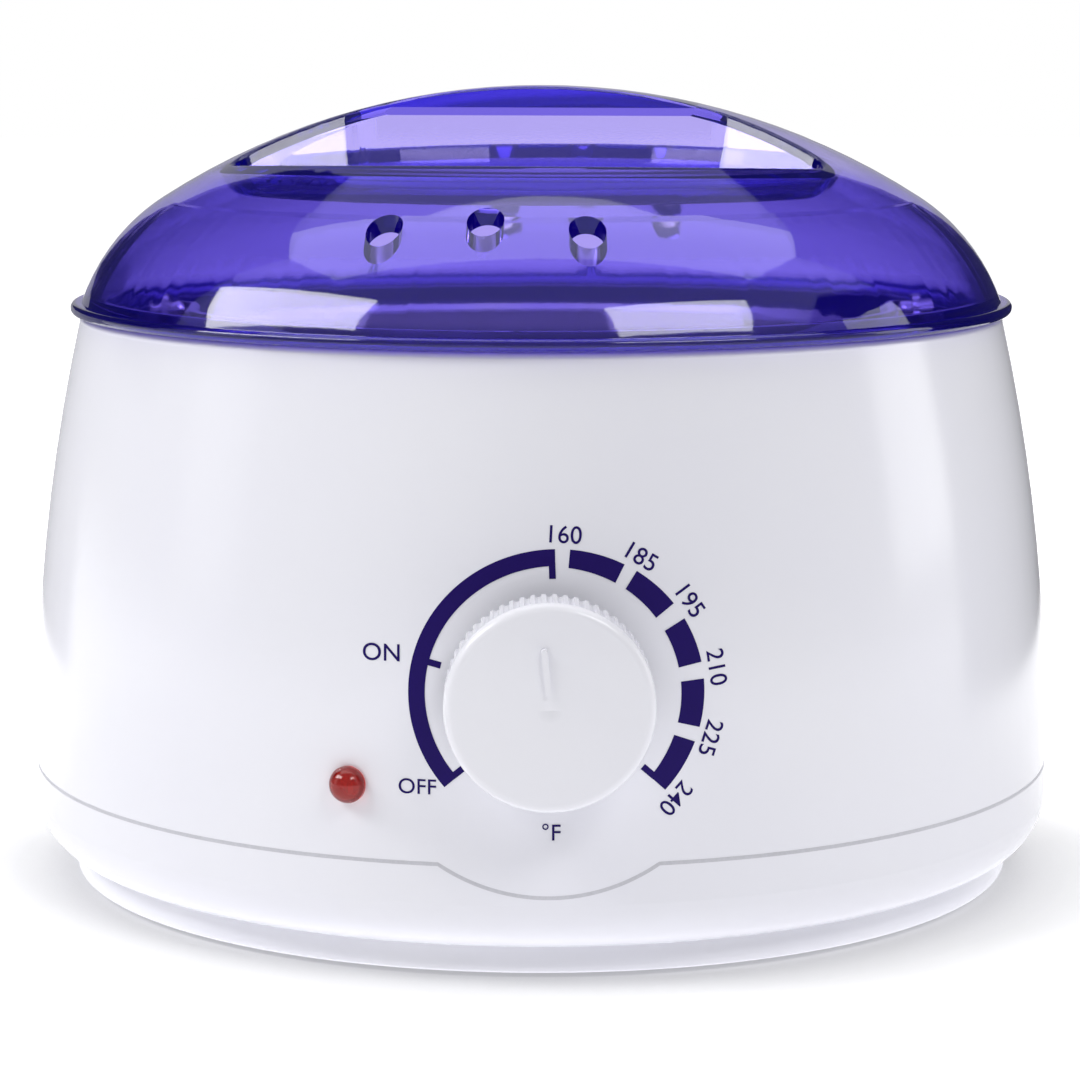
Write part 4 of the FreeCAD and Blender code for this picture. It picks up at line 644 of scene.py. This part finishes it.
class WARMER_OT_dial_scale(bpy.types.Operator):
    """Print the scale round the dial: a plain run, heat blocks, ticks, numbers and words"""
    bl_idname = "warmer.dial_scale"
    bl_label = "Dial scale"

    # Turns from straight up, clockwise as seen from the front, in degrees
    PLAIN_RUN = (-130.8, -0.6)
    BLOCKS = ((5.2, 27.2), (32.6, 52.2), (59.6, 78.4), (85.2, 104.6), (110.6, 132.8))
    TICKS = (-129.45, -76.0, -1.95, 131.45)
    FIGURES = (("160", 3.2), ("185", 31.6), ("195", 55.6), ("210", 81.8), ("225", 107.6), ("240", 132.6))
    # Width of the heat blocks at some turns, as a share of the greatest
    BLOCK_TURNS = (5.0, 30.0, 55.0, 80.0, 105.0, 133.0)
    BLOCK_SHARES = (0.77, 0.87, 0.97, 1.0, 0.97, 0.88)
    # Each word's piece and text, its middle sideways and above the table, and its height, in millimetres
    WORDS = (("word_on", "ON", -26.6, 54.2, 2.75), ("word_off", "OFF", -20.9, 33.0, 2.45),
             ("word_degrees", "°F", 0.4, 26.1, 2.6))
    # Degrees of turn between two points of a band
    BAND_STEP = 1.5
    # Where a tick starts, as a share of the band's width, and how many points it has along it
    TICK_START = 0.8
    TICK_POINTS = 6
    # Height of a capital and swelling of its strokes, as shares of the type's and the letter's height
    CAPITAL_SHARE = 0.70
    STROKE_SWELL = 0.004
    LETTER_SPACING = 1.02

    def turned(self, scale, turn, inset):
        """A point on the scale: the outer ellipse at a turn from straight up, drawn in towards
        its centre by an inset."""
        side = scale.centre_side + (scale.reach_side - inset) * np.sin(turn)
        height = scale.centre_height + (scale.reach_up - inset) * np.cos(turn)
        return side, height

    def band(self, scale, first, last, widths):
        """A printed run: a flat closed profile carried along the outer ellipse from one turn to
        another, its width going evenly between the two given."""
        turn = np.radians(np.linspace(first, last, int((last - first) / self.BAND_STEP)))[:, None]
        width = np.linspace(*widths, len(turn))[:, None]
        inward = np.linspace(0.0, 1.0, 5)
        across = np.concatenate([inward, inward[::-1]])[None, :]
        off = np.repeat([scale.proud, -scale.sunk], len(inward))[None, :]
        side, height = self.turned(scale, turn, across * width)
        return swept_loop(on_shell(side, height, off))

    def tick(self, scale, turn, width):
        """A printed tick: a short straight bar that stands in from the band."""
        turn = np.radians(turn)
        along = np.linspace(self.TICK_START * width, width + scale.tick_length, self.TICK_POINTS)[:, None]
        half = 0.5 * scale.tick_width
        across = np.array([half, 0.0, -half, -half, 0.0, half])[None, :]
        off = np.repeat([scale.proud, -scale.sunk], 3)[None, :]
        side, height = self.turned(scale, turn, along)
        return swept_loop(on_shell(side + across * np.cos(turn), height - across * np.sin(turn), off))

    def lettering(self, scale, name, text, middle, turn, tall, material):
        """Letters as a mesh: drawn flat about their own middle, turned, and laid on the shell,
        each point carried straight back on to it."""
        curve = bpy.data.curves.new(name, "FONT")
        curve.body = text
        curve.align_x = "CENTER"
        curve.align_y = "CENTER"
        curve.size = tall / self.CAPITAL_SHARE
        # Any depth will do: what follows reads only which side of the middle a point is on
        curve.extrude = 0.5
        curve.offset = self.STROKE_SWELL * tall
        curve.space_character = self.LETTER_SPACING
        written = bpy.data.objects.new(name, curve)
        bpy.context.scene.collection.objects.link(written)
        bpy.context.view_layer.update()
        mesh = bpy.data.meshes.new_from_object(written.evaluated_get(bpy.context.evaluated_depsgraph_get()))
        bpy.data.objects.remove(written)
        bpy.data.curves.remove(curve)
        flat = np.empty(len(mesh.vertices) * 3, np.float32)
        mesh.vertices.foreach_get("co", flat)
        flat = flat.reshape(-1, 3).astype(float)
        across, up, _ = (flat - 0.5 * (flat.min(0) + flat.max(0))).T
        side = middle[0] + across * np.cos(turn) + up * np.sin(turn)
        height = middle[1] - across * np.sin(turn) + up * np.cos(turn)
        placed = on_shell(side, height, np.where(flat[:, 2] > 0.0, scale.proud, -scale.sunk))
        mesh.vertices.foreach_set("co", placed.astype(np.float32).ravel())
        mesh.name = name
        mesh.update()
        return dress(bpy.data.objects.new(name, mesh), "housing", material)

    def execute(self, context):
        finish, scale = context.scene.warmer_finish, context.scene.warmer_scale
        ink = grained("scale_ink", finish.ink_indigo, gloss=0.45, scale=2400.0, depth=0.002 * MM, level=0.12)
        line, block = scale.line_width, scale.block_width
        points, faces = self.band(scale, *self.PLAIN_RUN, (line, line))
        new_piece("scale_plain_run", points, faces, "housing", ink)
        for number, ends in enumerate(self.BLOCKS, 1):
            widths = block * np.interp(ends, self.BLOCK_TURNS, self.BLOCK_SHARES)
            points, faces = self.band(scale, *ends, widths)
            new_piece(f"scale_heat_block_{number}", points, faces, "housing", ink)
        last = block * self.BLOCK_SHARES[-1]
        bars = [self.tick(scale, turn, line if turn < 0 else last) for turn in self.TICKS]
        points, faces = join_grids(bars)
        new_piece("scale_ticks", points, faces, "housing", ink)
        for text, degrees in self.FIGURES:
            turn = math.radians(degrees)
            middle = self.turned(scale, turn, -scale.figure_gap)
            self.lettering(scale, f"figure_{text}", text, middle, turn, scale.figure_height, ink)
        for name, text, side, height, tall in self.WORDS:
            self.lettering(scale, name, text, (side * MM, height * MM), 0.0, tall * MM, ink)
        return {"FINISHED"}


class WARMER_OT_lamp(bpy.types.Operator):
    """Finish the signal lamp: red lens, bulb and clip"""
    bl_idname = "warmer.lamp"
    bl_label = "Signal lamp"

    def execute(self, context):
        finish = context.scene.warmer_finish
        finish_node("lamp_lens", tinted_clear(
            "lamp_red", finish.lamp_red, gloss=0.08, clear=finish.lamp_clear))
        finish_node("lamp_bulb", tinted_clear(
            "bulb_glass", (0.95, 0.86, 0.74), gloss=0.02, ripple=0.002 * MM, index=1.45))
        finish_node("lamp_clip", grained(
            "clip_steel", finish.bright_steel, gloss=0.3, scale=900.0, depth=0.005 * MM, metallic=1.0))
        return {"FINISHED"}


class WARMER_OT_pot(bpy.types.Operator):
    """Finish the lift-out pot with its ears, rivets and bail, and the heating well below it"""
    bl_idname = "warmer.pot"
    bl_label = "Pot and well"

    def execute(self, context):
        finish = context.scene.warmer_finish
        pot = spun_metal("pot_aluminium", finish.pot_aluminium, gloss=0.42, pitch=1100.0)
        well = spun_metal("well_aluminium", finish.well_aluminium, gloss=0.34, pitch=800.0)
        steel = grained(
            "bright_steel", finish.bright_steel, gloss=0.2, scale=1200.0, depth=0.004 * MM, metallic=1.0)
        finish_node("wax_pot", pot)
        finish_node("heating_well", well)
        for node in ("bail_ears", "ear_rivets", "bail"):
            finish_node(node, steel)
        return {"FINISHED"}


class WARMER_OT_fittings(bpy.types.Operator):
    """Finish what sits inside the housing and under it"""
    bl_idname = "warmer.fittings"
    bl_label = "Fittings"

    def execute(self, context):
        finish = context.scene.warmer_finish
        steel = grained(
            "zinc_steel", finish.bright_steel, gloss=0.28, scale=1000.0, depth=0.006 * MM, metallic=1.0)
        for node in ("base_screws", "well_brackets", "bracket_screws", "band_clamp_screw", "thermostat_nut",
                     "sensor_saddle", "fuse_clip", "terminal_screws", "thermostat_shaft"):
            finish_node(node, steel)
        finish_node("thermostat_blades", grained(
            "brass", (0.72, 0.52, 0.22), gloss=0.25, scale=900.0, depth=0.004 * MM, metallic=1.0))
        finish_node("thermal_fuse", grained(
            "fuse_steel", finish.bright_steel, gloss=0.3, scale=900.0, depth=0.004 * MM, metallic=1.0))
        finish_node("heater_band", grained(
            "mica", (0.46, 0.36, 0.24), gloss=0.4, scale=500.0, depth=0.04 * MM))
        finish_node("insulation_wrap", grained(
            "glass_fibre", (0.78, 0.74, 0.62), gloss=0.9, scale=700.0, depth=0.2 * MM))
        finish_node("well_gasket", grained(
            "pale_rubber", (0.62, 0.60, 0.57), gloss=0.6, scale=1500.0, depth=0.02 * MM))
        finish_node("cord_gland", grained(
            "gland_rubber", (0.70, 0.70, 0.72), gloss=0.5, scale=1500.0, depth=0.02 * MM))
        finish_node("thermostat_body", moulded_plastic("dark_plastic", (0.03, 0.03, 0.032), gloss=0.4))
        finish_node("terminal_block", moulded_plastic("pale_plastic", (0.74, 0.70, 0.60), gloss=0.4))
        return {"FINISHED"}


class WARMER_OT_screw_drives(bpy.types.Operator):
    """Mark the cross recesses in the screws under the base as flat dark crosses of painted shade"""
    bl_idname = "warmer.screw_drives"
    bl_label = "Screw drives"

    # Where each screw stands about the axis and how far its cross is turned, in degrees
    SCREWS = ((45.0, 12.0), (135.0, 50.0), (225.0, 77.0), (315.0, 31.0))

    def cross(self, drive, place, turned):
        """A thin closed cross, painted shade of the recess: twelve corners, four arms with square ends,
        carried straight through the head's face."""
        arm, half = drive.arm, 0.5 * drive.width
        quarter = np.array([(arm, -half), (arm, half), (half, half)])
        turns = np.radians(turned + 90.0 * np.arange(4))[:, None]
        x = quarter[:, 0] * np.cos(turns) - quarter[:, 1] * np.sin(turns)
        y = quarter[:, 0] * np.sin(turns) + quarter[:, 1] * np.cos(turns)
        place = math.radians(place)
        flat = np.stack([x.ravel() + drive.circle * math.cos(place),
                         y.ravel() + drive.circle * math.sin(place)], -1)
        levels = drive.height + np.array([-drive.proud, 2.0 * drive.proud])
        rings = np.stack([np.column_stack([flat, np.full(len(flat), level)]) for level in levels])
        return swept_loop(rings)

    def execute(self, context):
        drive = context.scene.warmer_drive
        points, faces = join_grids([self.cross(drive, *screw) for screw in self.SCREWS])
        # Painted shade: a dark cross in place of each screw's recess.
        shade = grained("recess_shade", (0.03, 0.03, 0.03), gloss=0.6, scale=1500.0, depth=0.004 * MM)
        new_piece("painted_screw_recesses", points, faces, "housing", shade, smooth=False)
        return {"FINISHED"}


class WARMER_OT_stage(bpy.types.Operator):
    """Set the floor, the lamps, the light around and the camera"""
    bl_idname = "warmer.stage"
    bl_label = "Stage"

    # The floor's half-width, the lines of its grid each way, its colour, and how much of that colour the
    # painted shadow at the base hides
    FLOOR_REACH = 4.0
    FLOOR_LINES = 9
    FLOOR_COLOUR = (0.86, 0.86, 0.87)
    SHADOW_DEPTH = 0.6
    # Distances from the axis over which the floor turns white, and depths behind it
    WHITE_AROUND = (0.14, 0.6)
    WHITE_BEHIND = (0.0, 0.09)
    # Distances from the axis over which the floor's painted glow for diffuse rays, standing in for light
    # thrown back, falls off
    BOUNCE_EDGE = (0.090, 0.099)
    # Where the strips and the overhead lamp look
    MIDDLE = (0.0, 0.0, 0.1)
    # Colours of the cards, and the roughness that they share with the floor
    CARD_BLACK = (0.01, 0.01, 0.012)
    CARD_GREY = (0.42, 0.42, 0.435)
    MATT = 0.9
    # The camera's sensor in millimetres, and how near it sees in metres
    SENSOR_WIDTH = 36.0
    NEAREST = 0.01

    def floor(self, stage):
        """A pale floor, a flat grid: close by it glows a little and keeps the shadow, and a painted shadow
        darkens it for the camera at the base; further off and behind it is white for the camera, in gloss
        and through the lid, and for diffuse rays it glows, most round the foot, as painted bounce light."""
        material, tree, shader, where = new_material("pale_floor")
        shader.inputs["Roughness"].default_value = self.MATT
        shader.inputs["Specular IOR Level"].default_value = 0.0
        # Painted shadow: occlusion darkens the floor's colour and glow for the camera where the base meets
        # it.
        touch = tree.nodes.new("ShaderNodeAmbientOcclusion")
        touch.inputs["Distance"].default_value = stage.contact
        path = tree.nodes.new("ShaderNodeLightPath")
        corner = spread(tree, touch.outputs["AO"], self.SHADOW_DEPTH, 0.0)
        painted_shadow = sums(tree, "MULTIPLY", corner, path.outputs["Is Camera Ray"])
        near = sums(tree, "SUBTRACT", 1.0, painted_shadow)
        link(tree, shaded_colour(tree, near, self.FLOOR_COLOUR), shader.inputs["Base Color"])
        _, behind, _ = axes(tree, where)
        away = tree.nodes.new("ShaderNodeVectorMath")
        away.operation = "LENGTH"
        link(tree, where, away.inputs[0])
        distance = away.outputs["Value"]
        white = sums(tree, "MAXIMUM", soft_step(tree, distance, *self.WHITE_AROUND),
                     soft_step(tree, behind, *self.WHITE_BEHIND))
        far = sums(tree, "MULTIPLY", white, background_seen(tree, stage.floor_gloss))
        seen = sums(tree, "MULTIPLY", near, spread(tree, far, stage.floor_glow, 1.0))
        # Painted bounce: the floor glows for diffuse rays, most round the foot, to light the warmer's foot.
        fall_off = soft_step(tree, distance, *self.BOUNCE_EDGE)
        bounce = spread(tree, fall_off, stage.foot_bounce, stage.floor_bounce)
        painted_bounce_light = sums(tree, "MULTIPLY", path.outputs["Is Diffuse Ray"], bounce)
        glow = tree.nodes.new("ShaderNodeEmission")
        link(tree, sums(tree, "MAXIMUM", seen, painted_bounce_light), glow.inputs["Strength"])
        both = tree.nodes.new("ShaderNodeAddShader")
        link(tree, shader.outputs[0], both.inputs[0])
        link(tree, glow.outputs[0], both.inputs[1])
        link(tree, both.outputs[0], tree.nodes["Material Output"].inputs["Surface"])
        reach = np.linspace(-self.FLOOR_REACH, self.FLOOR_REACH, self.FLOOR_LINES)
        side, depth = np.meshgrid(reach, reach, indexing="ij")
        self.flat("floor", np.stack([side, depth, np.zeros_like(side)], -1), material)

    def flat(self, name, points, material):
        """A sheet of the stage from a grid of points."""
        mesh = bpy.data.meshes.new(name)
        mesh.from_pydata(points.reshape(-1, 3), [], grid_quads(*points.shape[:2])[:, ::-1].tolist())
        mesh.materials.append(material)
        sheet = bpy.data.objects.new(name, mesh)
        bpy.context.scene.collection.objects.link(sheet)
        return sheet

    def card_board(self, name, base):
        """The matt board of a card."""
        material, _, shader, _ = new_material(name)
        shader.inputs["Base Color"].default_value = (*base, 1.0)
        shader.inputs["Roughness"].default_value = self.MATT
        return material

    def card(self, name, material, corner, along, upwards):
        """A card beside the set, a parallelogram that shows only in gloss and through the lid."""
        corner, along, upwards = (np.array(v) for v in (corner, along, upwards))
        points = np.array([[corner, corner + upwards], [corner + along, corner + along + upwards]])
        card = self.flat(name, points, material)
        card.visible_camera = card.visible_diffuse = card.visible_shadow = False

    def world(self, stage):
        """Even light all round, seen as plain white by the camera and through the lid, and dimmer in
        gloss."""
        world = bpy.data.worlds.new("studio")
        world.use_nodes = True
        tree = world.node_tree
        around = tree.nodes["Background"]
        around.inputs["Color"].default_value = (1.0, 1.0, 1.0, 1.0)
        link(tree, spread(tree, background_seen(tree, stage.gloss_light), stage.room_light, 1.0),
             around.inputs["Strength"])
        bpy.context.scene.world = world

    def softbox(self, name, power, size, at, towards, along=None):
        """A rectangular lamp that looks at a point, its first side along a direction."""
        light = bpy.data.lights.new(name, "AREA")
        light.shape = "RECTANGLE"
        light.size, light.size_y = size
        light.energy = power
        lamp = bpy.data.objects.new(name, light)
        bpy.context.scene.collection.objects.link(lamp)
        aim(lamp, at, towards, along)

    def lamps(self, stage):
        """Two softboxes, two low strips and an overhead softbox."""
        self.softbox("left_softbox", stage.left_power, size=(0.695, 0.246), at=(-0.762, -0.226, 0.681),
                     towards=(0.009, -0.058, 0.067), along=(0.297, -0.603, 0.176))
        self.softbox("right_softbox", stage.right_power, size=(0.532, 0.224), at=(0.471, -0.609, 0.769),
                     towards=(0.003, -0.057, 0.080), along=(0.440, 0.293, -0.054))
        self.softbox("left_strip", stage.left_strip_power, size=(0.3, 0.6), at=(-0.95, -0.2, 0.35),
                     towards=self.MIDDLE)
        self.softbox("right_strip", stage.right_strip_power, size=(0.4, 0.6), at=(0.96, 0.05, 0.35),
                     towards=self.MIDDLE)
        self.softbox("top_softbox", stage.top_power, size=(1.6, 0.68), at=(0.0, 0.09, 1.1),
                     towards=self.MIDDLE)

    def cards(self):
        """Dark cards at both sides and far off on the right, and a grey one low on the left."""
        black = self.card_board("black_card", self.CARD_BLACK)
        grey = self.card_board("pale_card", self.CARD_GREY)
        self.card("right_card", black, corner=(0.17, 0.32, 0.0), along=(0.17, -0.30, 0.0),
                  upwards=(0.0, 0.0, 0.5))
        self.card("left_low_card", grey, corner=(-0.15, 0.34, 0.0), along=(-0.14, -0.19, 0.0),
                  upwards=(0.0, 0.0, 0.12))
        self.card("left_card", black, corner=(-0.17, 0.32, 0.12), along=(-0.17, -0.30, 0.0),
                  upwards=(0.0, 0.0, 0.38))
        self.card("far_card", black, corner=(0.883, -0.312, 0.624), along=(0.061, 0.455, -0.141),
                  upwards=(-0.077, 0.194, 0.103))

    def camera(self, stage):
        """The camera at its stand-off and eye height, looking down towards the warmer's axis."""
        lens = bpy.data.cameras.new("photo_camera")
        lens.lens = stage.lens
        lens.sensor_width = self.SENSOR_WIDTH
        lens.clip_start = self.NEAREST
        camera = bpy.data.objects.new("photo_camera", lens)
        bpy.context.scene.collection.objects.link(camera)
        eye = np.array([-stage.stand_off * math.sin(stage.turn), -stage.stand_off * math.cos(stage.turn),
                        stage.eye_height])
        heading = stage.turn - stage.aim
        ahead = np.array([math.sin(heading) * math.cos(stage.tilt), math.cos(heading) * math.cos(stage.tilt),
                          -math.sin(stage.tilt)])
        aim(camera, eye, eye + ahead)
        bpy.context.scene.camera = camera

    def execute(self, context):
        stage = context.scene.warmer_stage
        context.scene.view_settings.view_transform = "Standard"
        self.floor(stage)
        self.world(stage)
        self.lamps(stage)
        self.cards()
        self.camera(stage)
        return {"FINISHED"}


# Panel and registration

STEPS = (WARMER_OT_shell, WARMER_OT_lid, WARMER_OT_knob, WARMER_OT_dial_scale, WARMER_OT_lamp, WARMER_OT_pot,
         WARMER_OT_fittings, WARMER_OT_screw_drives, WARMER_OT_stage)


class WARMER_PT_panel(bpy.types.Panel):
    """The warmer's sizes, colours and steps"""
    bl_idname = "WARMER_PT_panel"
    bl_label = "Wax warmer pot"
    bl_space_type = "VIEW_3D"
    bl_region_type = "UI"
    bl_category = "Warmer"

    def draw(self, context):
        for name, kind in GROUPS.items():
            box = self.layout.box()
            for value in kind.__annotations__:
                box.prop(getattr(context.scene, name), value)
        for step in STEPS:
            self.layout.operator(step.bl_idname)


GROUPS = {"warmer_finish": WarmerFinish, "warmer_seam": SeamLine, "warmer_flare": FootFlare,
          "warmer_scale": DialScale, "warmer_drive": ScrewDrive, "warmer_stage": StageSet}
CLASSES = (*GROUPS.values(), *STEPS, WARMER_PT_panel)


def register():
    for made in CLASSES:
        bpy.utils.register_class(made)
    for name, kind in GROUPS.items():
        setattr(bpy.types.Scene, name, PointerProperty(type=kind))


def unregister():
    for name in GROUPS:
        delattr(bpy.types.Scene, name)
    for made in reversed(CLASSES):
        bpy.utils.unregister_class(made)


def main():
    """Makes every piece in order."""
    register()
    bpy.ops.warmer.shell()
    bpy.ops.warmer.lid()
    bpy.ops.warmer.knob()
    bpy.ops.warmer.dial_scale()
    bpy.ops.warmer.lamp()
    bpy.ops.warmer.pot()
    bpy.ops.warmer.fittings()
    bpy.ops.warmer.screw_drives()
    bpy.ops.warmer.stage()


if __name__ == "__main__":
    main()
